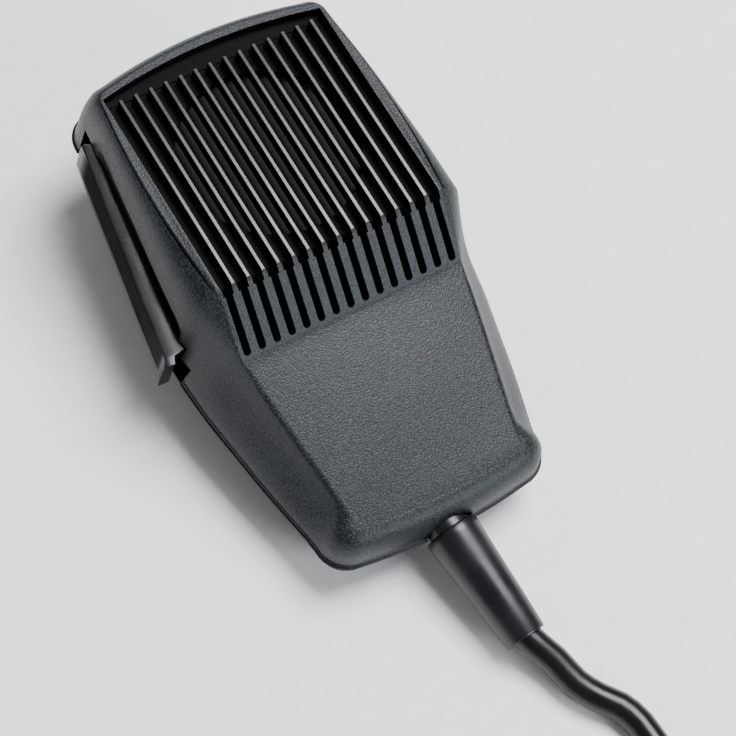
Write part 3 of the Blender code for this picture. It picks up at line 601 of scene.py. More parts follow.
@dataclass(frozen=True)
class CoverSizes:
    """The covers' sizes, in metres, in the microphone's frame."""

    wall: float = 0.0020
    gap: float = 0.0003
    fold: float = 0.0024
    slope_end: float = -0.0088
    seam: Outline = Outline(((0.0478, 0.0246), (0.0230, 0.0275), (0.0024, 0.0296), (-0.0100, 0.0288),
                             (-0.0200, 0.0271), (-0.0300, 0.0252), (-0.0462, 0.0214)),
                            0.0478, -0.0462, 0.0034, 0.0020, 0.0050, 0.0060)
    face: Outline = Outline(((0.0449, 0.0223), (0.0340, 0.0234), (0.0230, 0.0238), (0.0120, 0.0235),
                             (0.0024, 0.0226), (-0.0088, 0.0222), (-0.0424, 0.0167)),
                            0.0449, -0.0424, 0.0028, 0.0010, 0.0018, 0.0018)
    heights: Table = ((0.0449, 0.0172), (0.0024, 0.0222), (-0.0088, 0.0138), (-0.0424, 0.0078))
    inner_heights: Table = ((0.0449, 0.0132), (0.0024, 0.0182), (-0.0088, 0.0118), (-0.0424, 0.0058))
    front_levels: Sequence[Point] = (
        (0.0, 0.02, 0.02), (0.012, -0.03, -0.03), (0.034, -0.03, -0.03), (0.052, 0.012, 0.012),
        (0.10, 0.01, 0.03), (0.20, 0.03, 0.12), (0.30, 0.05, 0.22), (0.42, 0.08, 0.36),
        (0.56, 0.155, 0.53), (0.68, 0.245, 0.67), (0.78, 0.345, 0.77), (0.86, 0.47, 0.845),
        (0.92, 0.61, 0.90), (0.952, 0.73, 0.935), (0.972, 0.82, 0.955),
        (0.982, 0.89, 0.968), (0.986, 0.925, 0.975), (0.992, 0.96, 0.985), (1.0, 1.0, 1.0))
    back_depth: float = 0.0105
    back_inset: float = 0.0062
    back_levels: Sequence[Point] = (
        (0.0, 0.0, 0.0), (0.018, -0.065, -0.065), (0.055, -0.065, -0.065), (0.080, 0.0, 0.0),
        (0.14, 0.03, 0.03), (0.30, 0.09, 0.09), (0.48, 0.20, 0.20),
        (0.62, 0.34, 0.34), (0.76, 0.51, 0.51), (0.88, 0.70, 0.70),
        (0.95, 0.84, 0.84), (0.985, 0.94, 0.94), (1.0, 1.0, 1.0))
    profile_change: float = 0.0100
    profile_end: float = -0.0415
    profile_fade: float = 0.0040
    groove_depth: float = 0.0006
    groove_level: float = 0.925
    groove_end: float = 0.0440
    groove_fade: float = 0.001
    hollow_inset: float = 0.0024
    back_hollow_inset: float = 0.0012
    hollow_start: float = 0.0010
    column: float = 0.0030
    back_column: float = 0.0036
    column_under_head: float = 0.0030
    column_under_panel: float = 0.0014
    screw_hole: float = 0.0016
    screw_seat: Table = ((0, -0.0120), (0.0034, -0.0120), (0.0034, -0.0106), (0.0029, -0.0101),
                         (0.0029, -0.0040), (0, -0.0040))
    case_screws: Table = ((-0.0155, 0.0400), (0.0155, 0.0400), (-0.0130, -0.0350), (0.0130, -0.0350))


COVER = CoverSizes()


def shell(name: str, seam: Outline, face: Outline, levels: Sequence[Point],
          heights: Table | None, base: float, flat: float = 0.0, groove: float = 0.0) -> bpy.types.Object:
    """Build a closed, solid cover: rings up its wall, then its flat faces.

    Args:
        name: the piece's name.
        seam: the outline at the base.
        face: the outline at the other end.
        levels: height share, then the share of the way towards the face outline at the head and below.
        heights: the face's height down its length, or None for an even one.
        base: where the seam lies.
        flat: the face's height where it is even.
        groove: how far the wall dips beside the head's edges.

    Returns:
        The solid.
    """
    breaks = (COVER.fold, COVER.slope_end)
    outer, inner = seam.ring(breaks), face.ring(breaks)
    tops = [straight_read(heights, y) if heights else flat for _, y in inner]
    rings = []
    for share_up, head_in, panel_in in levels:
        dip = groove if abs(head_in - COVER.groove_level) < NEAR else 0.0
        ring = []
        for (x0, y0), (x1, y1), top in zip(outer, inner, tops):
            fade = min(1.0, max(0.0, (y1 - COVER.fold) / COVER.groove_fade),
                       max(0.0, (COVER.groove_end - y1) / COVER.groove_fade))
            side = min(1.0, max(0.0, (COVER.fold - y1) / COVER.profile_change),
                       max(0.0, (y1 - COVER.profile_end) / COVER.profile_fade))
            share_in = head_in + (panel_in - head_in) * side
            ring.append((x0 + (x1 - x0) * share_in, y0 + (y1 - y0) * share_in,
                         base + (top - base) * share_up - dip * fade))
        rings.append(ring)
    thing = stacked_rings(name, rings, True, heights is None)
    if heights:
        make_active(thing)
        bpy.ops.object.mode_set(mode="EDIT")
        first = len(thing.data.vertices) - len(rings[-1])
        marks = (1.0, *breaks, -1.0)
        for high, low in zip(marks, marks[1:]):
            pick(thing, "VERT", lambda v: v.index >= first and low - NEAR <= v.co.y <= high + NEAR)
            bpy.ops.mesh.edge_face_add()
        close_up()
    return thing


def soften(thing: bpy.types.Object, width: float, segments: int, test: Callable) -> None:
    """Bevel the edges that pass a test."""
    make_active(thing)
    bpy.ops.object.mode_set(mode="EDIT")
    pick(thing, "EDGE", test)
    bpy.ops.mesh.bevel(offset=width, segments=segments, affect="EDGES", profile=0.5)
    bpy.ops.object.mode_set(mode="OBJECT")


@dataclass(frozen=True)
class GrilleSizes:
    """The grille's ribs and slots, in metres."""

    count: int = 15
    pitch: float = 0.00298
    head_half: float = 0.00105
    slope_half: float = 0.0006
    depth: float = 0.0024
    top: float = 0.0426
    rim: float = 0.0014
    rim_bow: float = 0.0024
    centre_y: float = 0.0233
    hole: float = 0.0166
    head_flare: Table = ((-0.0024, 0.0), (-0.00040, 0.0), (-0.00022, 0.00003), (-0.00010, 0.00009),
                         (-0.00002, 0.00018), (0.0040, 0.00018))
    slope_flare: Table = ((-0.0024, 0.0), (-0.00022, 0.0), (-0.00010, 0.00004), (0.00001, 0.00013),
                          (0.0040, 0.00013))

    def head_tilt(self) -> float:
        """Return how far the head's face leans, in radians."""
        (top_y, top_z), (fold_y, fold_z) = COVER.heights[:2]
        return math.atan2(fold_z - top_z, top_y - fold_y)

    def head(self) -> Matrix:
        """Return the head's frame, on its face."""
        height = straight_read(COVER.heights, self.centre_y)
        return Matrix.Translation((0, self.centre_y, height)) @ Matrix.Rotation(-self.head_tilt(), 4, "X")

    def slope(self) -> tuple[Matrix, float]:
        """Return the slope's frame, on its face, and its length."""
        drop = straight_read(COVER.heights, COVER.fold) - straight_read(COVER.heights, COVER.slope_end)
        run = COVER.fold - COVER.slope_end
        middle = (COVER.fold + COVER.slope_end) / 2
        place_of = Matrix.Translation((0, middle, straight_read(COVER.heights, middle)))
        return place_of @ Matrix.Rotation(math.atan2(drop, run), 4, "X"), math.hypot(drop, run)

    def along_head(self, y: float) -> float:
        """Turn a place down the microphone into one down the head's own face."""
        return (y - self.centre_y) / math.cos(self.head_tilt())


class Grille:
    """The cutters that open the grille in the front cover."""

    def __init__(self, sizes: GrilleSizes) -> None:
        """Keep the sizes."""
        self.sizes = sizes

    def slots(self, half: float, low: float, high: float, flare: Table, rounded: bool) -> bpy.types.Object:
        """Return a cutter for the whole row of slots or, with round ends, for the first slot alone.

        Args:
            half: half a slot's width.
            low: where the slots end, towards the cord.
            high: where they end, towards the head's top.
            flare: pairs of height and added half width, which round the ribs' crests.
            rounded: whether the low end is round.

        Returns:
            The cutter, in the face's frame.
        """
        sizes = self.sizes
        angles = [math.pi * step / 8 for step in range(9)]
        rings = []
        for height, wider in flare:
            radius = half + wider
            foot = [(radius, low), (-radius, low)]
            if rounded:
                foot = [(radius * math.cos(angle), low + half - radius * math.sin(angle)) for angle in angles]
            outline = [*foot, (-radius, high), (radius, high)]
            rings.append([(x, y, height) for x, y in outline])
        cutter = stacked_rings("slots", rings, True, True)
        cutter.location.x = -(sizes.count - 1) / 2 * sizes.pitch
        if not rounded:
            apply(cutter, "ARRAY", count=sizes.count, use_relative_offset=False, use_constant_offset=True,
                  constant_offset_displace=(sizes.pitch, 0, 0))
        return cutter

    def cutters(self) -> list[bpy.types.Object]:
        """Return the slots, the rim's channel and the round hole behind them."""
        sizes = self.sizes
        slope, length = sizes.slope()
        edge = (sizes.count - 1) / 2 * sizes.pitch + sizes.head_half + 0.0002
        head_slots = self.slots(sizes.head_half, sizes.along_head(COVER.fold) - 0.0012,
                                sizes.along_head(sizes.top) + 0.0004, sizes.head_flare, False)
        channel_ring = [(-edge, sizes.along_head(sizes.top)), (edge, sizes.along_head(sizes.top))]
        for step in range(25):
            across = 1 - step / 12
            reach = sizes.rim + sizes.rim_bow * (1 - across ** 2)
            channel_ring.append((across * edge, sizes.along_head(sizes.top + reach)))
        channel = stacked_rings("rim_channel", [[(x, y, height) for x, y in channel_ring]
                                                for height in (0.0003 - sizes.depth, 0.0050)], True, True)
        hole = rod("sound_hole", (0, 0, -0.0070), 0.0047, sizes.hole, 96)
        slope_slots = self.slots(sizes.slope_half, 0.0009 - length / 2, length / 2 + 0.0010,
                                 sizes.slope_flare, True)
        for cutter, matrix in ((head_slots, sizes.head()), (channel, sizes.head()), (hole, sizes.head()),
                               (slope_slots, slope)):
            cutter.matrix_basis = matrix @ cutter.matrix_basis
        singles = [slope_slots]
        for step in range(1, sizes.count):
            twin = slope_slots.copy()
            twin.data = slope_slots.data.copy()
            bpy.context.collection.objects.link(twin)
            twin.matrix_basis = Matrix.Translation((step * sizes.pitch, 0, 0)) @ slope_slots.matrix_basis
            singles.append(twin)
        return [*singles, head_slots, channel, hole]

    def polish(self, cover: bpy.types.Object) -> None:
        """Give the head's ribs the polished finish, which the grained border stops at."""
        edge = (self.sizes.count - 1) / 2 * self.sizes.pitch
        for face in cover.data.polygons:
            middle = face.center
            widest = max(abs(cover.data.vertices[index].co.x) for index in face.vertices)
            on_rib = widest < edge and COVER.fold - 0.0002 < middle.y < self.sizes.top + 0.0001
            if on_rib and middle.z > straight_read(COVER.heights, middle.y) - 0.0003:
                face.material_index = 2


class FrontCover:
    """The front cover, with the grille and half of the lever's recess."""

    def build(self) -> bpy.types.Object:
        """Model the cover and hand it over."""
        cover = shell("front_cover_skin", COVER.seam, COVER.face, COVER.front_levels, COVER.heights, 0.0,
                      groove=COVER.groove_depth)

        def on_face(vertex: bmesh.types.BMVert) -> bool:
            """Say whether a vertex lies on the sloping faces."""
            return abs(vertex.co.z - straight_read(COVER.heights, vertex.co.y)) < 20 * NEAR

        def across(edge: bmesh.types.BMEdge) -> bool:
            """Say whether an edge is a fold that runs across the faces."""
            a, b = edge.verts
            return (on_face(a) and on_face(b) and abs(a.co.y - b.co.y) < NEAR and len(edge.link_faces) == 2
                    and edge.calc_face_angle(0.0) > math.radians(8) and abs(a.co.x - b.co.x) > 0.01)

        def lip(edge: bmesh.types.BMEdge) -> bool:
            """Say whether an edge is on the rim of the panel."""
            return (all(on_face(v) for v in edge.verts) and edge.calc_face_angle(0.0) > math.radians(12)
                    and max(v.co.y for v in edge.verts) < COVER.slope_end - 0.001)

        soften(cover, 0.0006, 3, across)
        soften(cover, 0.0007, 3, lip)
        hollow = shell("hollow", COVER.seam.inset(COVER.wall), COVER.face.inset(COVER.hollow_inset),
                       COVER.front_levels[4:], COVER.inner_heights, -COVER.hollow_start)
        # The second finish is painted shade, which the hollow and the cutters carry onto the walls they
        # leave.
        dress(cover, Finishes.COVER, Finishes.RIB, Finishes.CREST)
        grille = Grille(GrilleSizes())
        combine(cover, dress(hollow, Finishes.RIB))
        for x, y in COVER.case_screws:
            under = COVER.column_under_head if y > 0 else COVER.column_under_panel
            top = straight_read(COVER.heights, y) - under
            column = rod("column", (x, y, COVER.gap), top - COVER.gap, COVER.column)
            combine(cover, dress(column, Finishes.RIB), "UNION")
        for cutter in grille.cutters():
            combine(cover, dress(cutter, Finishes.RIB))
        combine(cover, dress(LeverScoop().cutter(), Finishes.COVER))
        for cutter in LeverRecess().cutters():
            combine(cover, dress(cutter, Finishes.RIB))
        combine(cover, dress(BOOT.hole(), Finishes.RIB))
        grille.polish(cover)
        place(cover, MIC, 35)
        return hand_over(cover, "housing", "black_abs", "front_cover")


class LeverRecess:
    """The opening in the left wall that the talk lever sits in."""

    left: float = -0.0400
    right: float = -0.0205
    low: float = -0.0038
    high: float = 0.0434
    foot: float = -0.0010

    def cutter(self, start: float, end: float) -> bpy.types.Object:
        """Return the whole opening's cutter between two heights."""
        return block("lever_recess", (self.left, self.low, start), (self.right, self.high, end))

    def cutters(self) -> list[bpy.types.Object]:
        """Return the front cover's cutters: the grip's opening, and the lower one for its foot."""
        grip = block("lever_recess", (self.left, self.foot, -0.0010), (self.right, self.high, 0.0086))
        foot = block("lever_foot_recess", (self.left, self.low, -0.0012), (self.right + 0.0002, 0.0, 0.0050))
        return [grip, foot]


class LeverScoop:
    """The soft hollow in the front cover's wall beside the lever, with round ends."""

    radius: float = 0.0042
    top: Point = (-0.0291, 0.0365, 0.0098)
    bottom: Point = (-0.0316, 0.0040, 0.0098)

    def cutter(self) -> bpy.types.Object:
        """Return the hollow's cutter."""
        length = (Vector(self.bottom) - Vector(self.top)).length
        profile = [(0, -self.radius)]
        for step in range(1, 9):
            angle = math.pi / 2 * step / 8
            profile.append((self.radius * math.sin(angle), -self.radius * math.cos(angle)))
        for step in range(8):
            angle = math.pi / 2 * step / 8
            profile.append((self.radius * math.cos(angle), length + self.radius * math.sin(angle)))
        profile.append((0, length + self.radius))
        thing = spun("lever_scoop", profile, 48)
        turn = (Vector(self.bottom) - Vector(self.top)).to_track_quat("Z", "X")
        thing.matrix_basis = Matrix.Translation(self.top) @ turn.to_matrix().to_4x4()
        return thing


class BackCover:
    """The back cover, with its screw seats."""

    def build(self) -> bpy.types.Object:
        """Model the cover and hand it over."""
        rear = COVER.seam.inset(COVER.back_inset)
        rear = Outline(rear.widths, rear.top, rear.bottom, COVER.seam.bow_top, 0.0, 0.0050, 0.0060)
        cover = shell("back_cover_skin", COVER.seam, rear, COVER.back_levels, None, -COVER.gap,
                      -COVER.back_depth)
        soften(cover, 0.0008, 3, lambda edge: all(abs(v.co.z + COVER.back_depth) < NEAR for v in edge.verts))
        inner = COVER.seam.inset(COVER.wall)
        hollow = shell("hollow", inner, rear.inset(COVER.back_hollow_inset), COVER.back_levels[1:], None,
                       COVER.hollow_start, COVER.wall - COVER.back_depth)
        # The second finish is painted shade, which the hollow and the cutters carry onto the walls they
        # leave.
        dress(cover, Finishes.COVER, Finishes.RIB)
        combine(cover, dress(hollow, Finishes.RIB))
        low = 0.0007 - COVER.back_depth
        for x, y in COVER.case_screws:
            column = rod("column", (x, y, low), -COVER.gap - low, COVER.back_column)
            combine(cover, dress(column, Finishes.RIB), "UNION")
        outside = COVER.screw_seat[0][1]
        cutters = [LeverRecess().cutter(-0.0016, 0.0010), BOOT.hole(),
                   rod("button_hole", (0, BUTTON.y, outside), 0.0060, BUTTON.hole)]
        for x, y in COVER.case_screws:
            cutters += [rod("screw_hole", (x, y, outside), 0.0130, COVER.screw_hole),
                        spun("screw_seat", COVER.screw_seat, 40)]
            cutters[-1].location = (x, y, 0)
        for cutter in cutters:
            combine(cover, dress(cutter, Finishes.RIB))
        place(cover, MIC, 35)
        return hand_over(cover, "housing", "black_abs", "back_cover")


# ---- the lever ---------------------------------------------------------------------------------
@dataclass(frozen=True)
class LeverSizes:
    """The talk lever: where its outer and inner faces lie down its length."""

    low: float = -0.0010
    high: float = 0.0080
    pivot: tuple[float, float] = Pose.pivot[:2]
    rounding: float = 0.0005
    margin: float = 0.0010
    outer: Table = ((0.0412, -0.0269), (0.0300, -0.0285), (0.0200, -0.0298), (0.0100, -0.0312),
                    (-0.0009, -0.0326), (-0.0017, -0.0331), (-0.0023, -0.0335))
    inner: Table = ((0.0412, -0.0262), (0.0399, -0.0229), (0.0351, -0.0226), (0.0290, -0.0248),
                    (0.0263, -0.0235), (0.0225, -0.0235), (0.0200, -0.0250), (-0.0004, -0.0276),
                    (-0.0009, -0.0306), (-0.0017, -0.0310), (-0.0023, -0.0312))
    ridges: int = 4
    ridge_height: float = 0.0006
    hub: float = 0.0026
    pin: float = 0.0011


class TalkLever:
    """The ridged talk lever on the left side."""

    def __init__(self, sizes: LeverSizes) -> None:
        """Keep the sizes."""
        self.sizes = sizes

    def section(self, y: float) -> list[Point]:
        """Return the lever's ring of points at one place down its length."""
        sizes = self.sizes
        outside, inside = straight_read(sizes.outer, y), straight_read(sizes.inner, y)
        fade = min(1.0, max(0.0, (y + 0.0012) / 0.002), max(0.0, (0.0405 - y) / 0.003))
        edge = sizes.rounding
        ring = [(inside, y, sizes.low), (outside + edge, y, sizes.low)]
        ring.append((outside + 0.3 * edge, y, sizes.low + 0.3 * edge))
        first, last = sizes.low + sizes.margin, sizes.high - sizes.margin
        steps = sizes.ridges * 8
        for step in range(steps + 1):
            wave = (0.5 - 0.5 * math.cos(2 * math.pi * step / 8)) ** 2
            ring.append((outside + sizes.ridge_height * (1 - wave) * fade, y,
                         first + (last - first) * step / steps))
        ring += [(outside + 0.3 * edge, y, sizes.high - 0.3 * edge), (outside + edge, y, sizes.high),
                 (inside, y, sizes.high)]
        return ring

    def build(self) -> bpy.types.Object:
        """Model the lever and hand it over."""
        sizes = self.sizes
        fixed = {y for y, _ in (*sizes.outer, *sizes.inner)}
        extra = {0.0395 - 0.0008 * step for step in range(4)} | {0.0006 - 0.0006 * step for step in range(3)}
        places = sorted(fixed | extra, reverse=True)
        lever = stacked_rings("talk_lever_skin", [self.section(y) for y in places], True, True)
        combine(lever, rod("hub", (*sizes.pivot, sizes.low), sizes.high - sizes.low, sizes.hub), "UNION")
        combine(lever, rod("pin_hole", (*sizes.pivot, sizes.low - 0.001), 0.012, sizes.pin))
        dress(lever, Finishes.LEVER)
        place(lever, MIC, 30)
        return hand_over(lever, "lever", "black_abs", "talk_lever")


# ---- the strain relief, the cord and the plug ----------------------------------------------------
@dataclass(frozen=True)
class ButtonSizes:
    """The hang-up button: its place, its seat and end behind the seam, and its radii."""

    y: float = 0.0200
    seat: float = -0.0108
    end: float = -0.0165
    stem: float = 0.0040
    head: float = 0.0070
    recess: float = 0.0015
    hole: float = 0.0017


BUTTON = ButtonSizes()


@dataclass(frozen=True)
class BootSizes:
    """The strain relief: a moulded tube that leans away from the covers' bottom."""

    start: Point = (0.0003, -0.0483, 0.0)
    tip: Point = (0.0030, -0.0716, -0.0010)
    bore: float = 0.0030
    inside: float = 0.0062
    collar: float = 0.0047
    collar_end: float = -0.0046
    neck: float = 0.0040
    neck_end: float = -0.0030
    lip: float = 0.0002
    hole_radius: float = 0.0044
    taper: Table = ((0.0041, 0.0002), (0.0049, 0.0004), (0.0051, 0.0007), (0.00505, 0.0020),
                    (0.00470, 0.0080), (0.00430, 0.0160))
    tip_rounding: Table = ((0.0039, 0.0005), (0.00384, 0.0002), (0.0037, 0.0))

    @property
    def length(self) -> float:
        """How far the boot reaches out of the covers."""
        return (Vector(self.tip) - Vector(self.start)).length

    def matrix(self) -> Matrix:
        """Return the boot's frame in the microphone's."""
        turn = (Vector(self.tip) - Vector(self.start)).to_track_quat("Z", "X")
        return Matrix.Translation(self.start) @ turn.to_matrix().to_4x4()

    def hole(self) -> bpy.types.Object:
        """Return the cutter for the boot's hole between the covers."""
        thing = rod("boot_hole", (0, 0, -0.0045), 0.0085, self.hole_radius)
        thing.matrix_basis = self.matrix() @ thing.matrix_basis
        return thing


BOOT = BootSizes()


class StrainRelief:
    """The strain relief."""

    def build(self) -> bpy.types.Object:
        """Model the boot and hand it over."""
        end = BOOT.length
        profile = [(BOOT.bore, -BOOT.inside), (BOOT.collar, -BOOT.inside), (BOOT.collar, BOOT.collar_end),
                   (BOOT.neck, BOOT.collar_end), (BOOT.neck, BOOT.neck_end), *BOOT.taper,
                   *((radius, end - back) for radius, back in BOOT.tip_rounding),
                   (BOOT.bore + BOOT.lip, end), (BOOT.bore, end - BOOT.lip)]
        boot = dress(spun("strain_relief_skin", profile, 96), Finishes.BOOT)
        place(boot, MIC @ BOOT.matrix(), 40)
        return hand_over(boot, "housing", "black_rubber", "strain_relief")


@dataclass(frozen=True)
class CordSizes:
    """The curly cord: its route, its coil and where its plug lies, in the row's frame."""

    radius: float = 0.0027
    coil: float = 0.0048
    coil_height: float = 0.0075
    tail: Sequence[Point] = ((0.0076, -0.0780, 0.0046), (0.0090, -0.0830, 0.0036), (0.0114, -0.0871, 0.0030),
                             (0.0140, -0.0904, 0.0028), (0.0155, -0.0948, 0.0028), (0.0160, -0.1020, 0.0028),
                             (0.0178, -0.1130, 0.0028), (0.0200, -0.1247, 0.0028))
    start: float = -0.1250
    turn: float = -0.2320
    end: float = -0.1720
    side: float = 0.0200
    turn_radius: float = 0.0220
    pitch: float = 0.0057
    turn_pitch: float = 0.0072
    plug_at: Point = (-0.0240, -0.1500, 0.0060)
    plug_tilt: float = math.radians(7.0)
    ramp: float = 0.014
    ramp_pitch: float = 0.060
    blend: float = 0.010
    spacing: float = 0.0030

    @property
    def first(self) -> float:
        """How long the first straight run of the coil is."""
        return self.start - self.turn

    @property
    def bend(self) -> float:
        """How long the turn between the two runs is."""
        return math.pi * self.turn_radius

    @property
    def total(self) -> float:
        """How long the coil's whole axis is."""
        return self.first + self.bend + self.end - self.turn

    def plug(self) -> Matrix:
        """Return the plug's frame: Z runs out of its mating end."""
        return Matrix.Translation(self.plug_at) @ Matrix.Rotation(self.plug_tilt - math.pi / 2, 4, "X")


CORD = CordSizes()


def smooth_line(points: Sequence[Vector], spacing: float) -> list[Vector]:
    """Return points every spacing or so along a smooth curve through the given ones."""
    route = [2 * points[0] - points[1], *points, 2 * points[-1] - points[-2]]
    line = []
    for before, start, end, after in zip(route, route[1:], route[2:], route[3:]):
        steps = max(1, round((end - start).length / spacing))
        for step in range(steps):
            t = step / steps
            line.append(0.5 * (2 * start + (end - before) * t
                               + (2 * before - 5 * start + 4 * end - after) * t ** 2
                               + (3 * start - before - 3 * end + after) * t ** 3))
    return line + [route[-2]]


class CurlyCord:
    """The cord: a straight tail out of the boot, a coil folded back on itself, and the plug's lead."""

    def __init__(self, sizes: CordSizes) -> None:
        """Keep the sizes."""
        self.sizes = sizes

    def axis_at(self, run: float) -> tuple[Vector, Vector, float]:
        """Return the coil's axis, its sideways direction and its local pitch after some run of it."""
        sizes = self.sizes
        first, bend, total = sizes.first, sizes.bend, sizes.total
        centre = Vector((sizes.side - sizes.turn_radius, sizes.turn, sizes.coil_height))
        pitch = sizes.pitch
        if run < first:
            point, side = Vector((sizes.side, sizes.start - run, sizes.coil_height)), Vector((1, 0, 0))
        elif run < first + bend:
            angle = -(run - first) / sizes.turn_radius
            side = Vector((math.cos(angle), math.sin(angle), 0))
            point, pitch = centre + sizes.turn_radius * side, sizes.turn_pitch
        else:
            across, along = sizes.side - 2 * sizes.turn_radius, sizes.turn + run - first - bend
            point, side = Vector((across, along, sizes.coil_height)), Vector((-1, 0, 0))
        ramp = min(run, total - run) / sizes.ramp
        if ramp < 1:
            pitch += (sizes.ramp_pitch - pitch) * (1 - ramp) ** 2
        blend = min(abs(run - first), abs(run - first - bend)) / sizes.blend
        if blend < 1 and first - sizes.blend < run < first + bend + sizes.blend:
            middle = (sizes.pitch + sizes.turn_pitch) / 2
            pitch = middle + (pitch - middle) * blend
        return point, side, pitch

    def helix(self) -> list[Vector]:
        """Return the coil's centreline, which starts and ends at its bottom."""
        sizes = self.sizes
        total = sizes.total
        step, turns, marks = 0.0001, 0.0, []
        count = int(total / step)
        for i in range(count + 1):
            run = total * i / count
            point, side, pitch = self.axis_at(run)
            marks.append((turns, point, side))
            turns += total / count / pitch
        whole = round(marks[-1][0])
        scale, points, wanted = whole / marks[-1][0], [], 0.0
        for turned, point, side in marks:
            if turned * scale >= wanted - 1e-9:
                angle = 2 * math.pi * turned * scale - math.pi / 2
                out = math.cos(angle) * side + math.sin(angle) * Vector((0, 0, 1))
                points.append(point + sizes.coil * out)
                wanted += 1 / 16
        return points

    def line(self) -> list[Vector]:
        """Return the whole centreline, from inside the boot to inside the plug."""
        sizes = self.sizes
        boot, plug = MIC @ BOOT.matrix(), sizes.plug()
        held = [boot @ Vector((0, 0, d)) for d in (-0.0155, -0.0080, 0.0, 0.0080, 0.0160)]
        tail = [boot @ Vector((0, 0, BOOT.length - 0.001)), *(Vector(p) for p in sizes.tail[:-1])]
        lead = [Vector((sizes.side - 2 * sizes.turn_radius, sizes.end + 0.0060, 0.0031)),
                *(plug @ Vector((0, 0, d)) for d in (-0.0062, 0.0010, 0.0140))]
        coil = self.helix()
        before = smooth_line([*held, *tail, coil[0]], sizes.spacing)
        after = smooth_line([coil[-1], *lead], sizes.spacing)
        return before[:-1] + coil[:-1] + after

    def build(self) -> bpy.types.Object:
        """Model the cord and hand it over."""
        deselect()
        line = self.line()
        bpy.ops.curve.primitive_nurbs_path_add()
        cord = named("cord")
        cord.data.splines.clear()
        spline = cord.data.splines.new("POLY")
        spline.points.add(len(line) - 1)
        for knot, point in zip(spline.points, line):
            knot.co = (*point, 1.0)
        cord.data.dimensions = "3D"
        cord.data.bevel_depth = self.sizes.radius
        cord.data.bevel_resolution = 5
        cord.data.use_fill_caps = True
        dress(cord, Finishes.CORD)
        return hand_over(cord, "housing", "cord_jacket", "cord_tail", "curly_cord", "plug_lead")

    def declare(self, cord: bpy.types.Object, pieces: Sequence[bpy.types.Object]) -> None:
        """Log the cord's length along its centreline."""
        line = self.line()
        length = sum((b - a).length for a, b in zip(line, line[1:]))
        LOG.info("cord is %.3f m long", length)


class Plug:
    """The locking plug at the cord's far end."""

    def build(self) -> list[bpy.types.Object]:
        """Model the shell, the knurled ring and the grommet, and hand them over."""
        frame_of = CORD.plug()
        shell_profile = ((0.0053, 0.0), (0.0060, 0.0), (0.0060, 0.0090), (0.0074, 0.0118), (0.0076, 0.0124),
                         (0.0076, 0.0246), (0.0074, 0.0250), (0.0069, 0.0254), (0.0069, 0.0377),
                         (0.0067, 0.0380), (0.0053, 0.0380))
        body = dress(spun("plug_shell_skin", shell_profile, 96), Finishes.CHROME)
        hand_over(place(body, frame_of, 30), "housing", "chrome", "plug_shell")
        ring_profile = ((0.0072, 0.0262), (0.0089, 0.0262), (0.0092, 0.0265), (0.0092, 0.0372),
                        (0.0089, 0.0375), (0.0072, 0.0375))
        ring = dress(spun("plug_locking_ring_skin", ring_profile, 144), Finishes.CHROME)
        for vertex in ring.data.vertices:
            radius = math.hypot(vertex.co.x, vertex.co.y)
            if radius > 0.0091:
                tooth = 0.5 + 0.5 * math.cos(36 * math.atan2(vertex.co.y, vertex.co.x))
                vertex.co.xy *= 1 - 0.0003 * tooth / radius
        hand_over(place(ring, frame_of, 25), "locking_ring", "chrome", "plug_locking_ring")
        grommet_profile = ((BOOT.bore, -0.0060), (0.0038, -0.0060), (0.0040, -0.0058), (0.0049, -0.0010),
                           (0.0049, 0.0070), (BOOT.bore, 0.0070))
        grommet = dress(spun("plug_grommet_skin", grommet_profile, 64), Finishes.RUBBER)
        hand_over(place(grommet, frame_of, 35), "housing", "black_rubber", "plug_grommet")
        return [body, ring, grommet]


# ---- the back's metal --------------------------------------------------------------------------
class HangUpButton:
    """The bright button that the microphone hangs from, and its screw's recess."""

    def build(self) -> bpy.types.Object:
        """Model the button and hand it over."""
        face, end, deep = BUTTON.seat, BUTTON.end, BUTTON.recess
        profile = ((0, end + deep), (deep, end + deep), (deep, face), (BUTTON.stem, face),
                   (BUTTON.stem, face - 0.0022), (0.0042, face - 0.0025), (0.0066, face - 0.0031),
                   (BUTTON.head, face - 0.0035), (BUTTON.head, end + 0.0006), (0.0068, end + 0.0002),
                   (0.0064, end), (0.0018, end), (0, end))
        button = dress(spun("hang_up_button_skin", profile, 96), Finishes.CHROME)
        button.location = (0, BUTTON.y, 0)
        return hand_over(place(button, MIC, 30), "housing", "chrome", "hang_up_button")


class CaseScrew:
    """One of the four pan-head screws that close the covers, with a cross recess."""

    head: float = -0.0017
    long: float = 0.0120
    short: float = 0.0088
    seat: float = -0.0043
    bar_reach: float = 0.0013
    bar_half: float = 0.00028
    bar_turn: float = 0.35

    def build(self, number: int, x: float, y: float) -> bpy.types.Object:
        """Model one screw and hand it over.

        Args:
            number: which screw, from 1.
            x: across the microphone.
            y: along it.

        Returns:
            The screw.
        """
        length = self.long if y > 0 else self.short
        head = self.head
        profile = ((0, head), (0.0014, head), (0.0019, head + 0.0002), (0.0023, head + 0.0006),
                   (0.0025, head + 0.0010), (0.0025, 0), (0.0011, 0), (0.0011, length - 0.0008),
                   (0.0006, length), (0, length))
        screw = spun("screw", profile, 48)
        for turn in (self.bar_turn, self.bar_turn + math.pi / 2):
            bar = block("recess", (-self.bar_reach, -self.bar_half, head - 0.001),
                        (self.bar_reach, self.bar_half, head + 0.0008))
            bar.rotation_euler.z = turn
            combine(screw, bar)
        screw.name = screw.data.name = f"case_screw_{number}_skin"
        dress(screw, Finishes.STEEL)
        screw.location = (x, y, self.seat)
        return hand_over(place(screw, MIC, 35), "housing", "bright_steel", f"case_screw_{number}")


# ---- the kept nodes, the floor, the light and the camera ----------------------------------------
def numbered(stem: str, count: int) -> tuple[str, ...]:
    """Return a stem with each number from 1 on."""
    return tuple(f"{stem}_{number}" for number in range(1, count + 1))


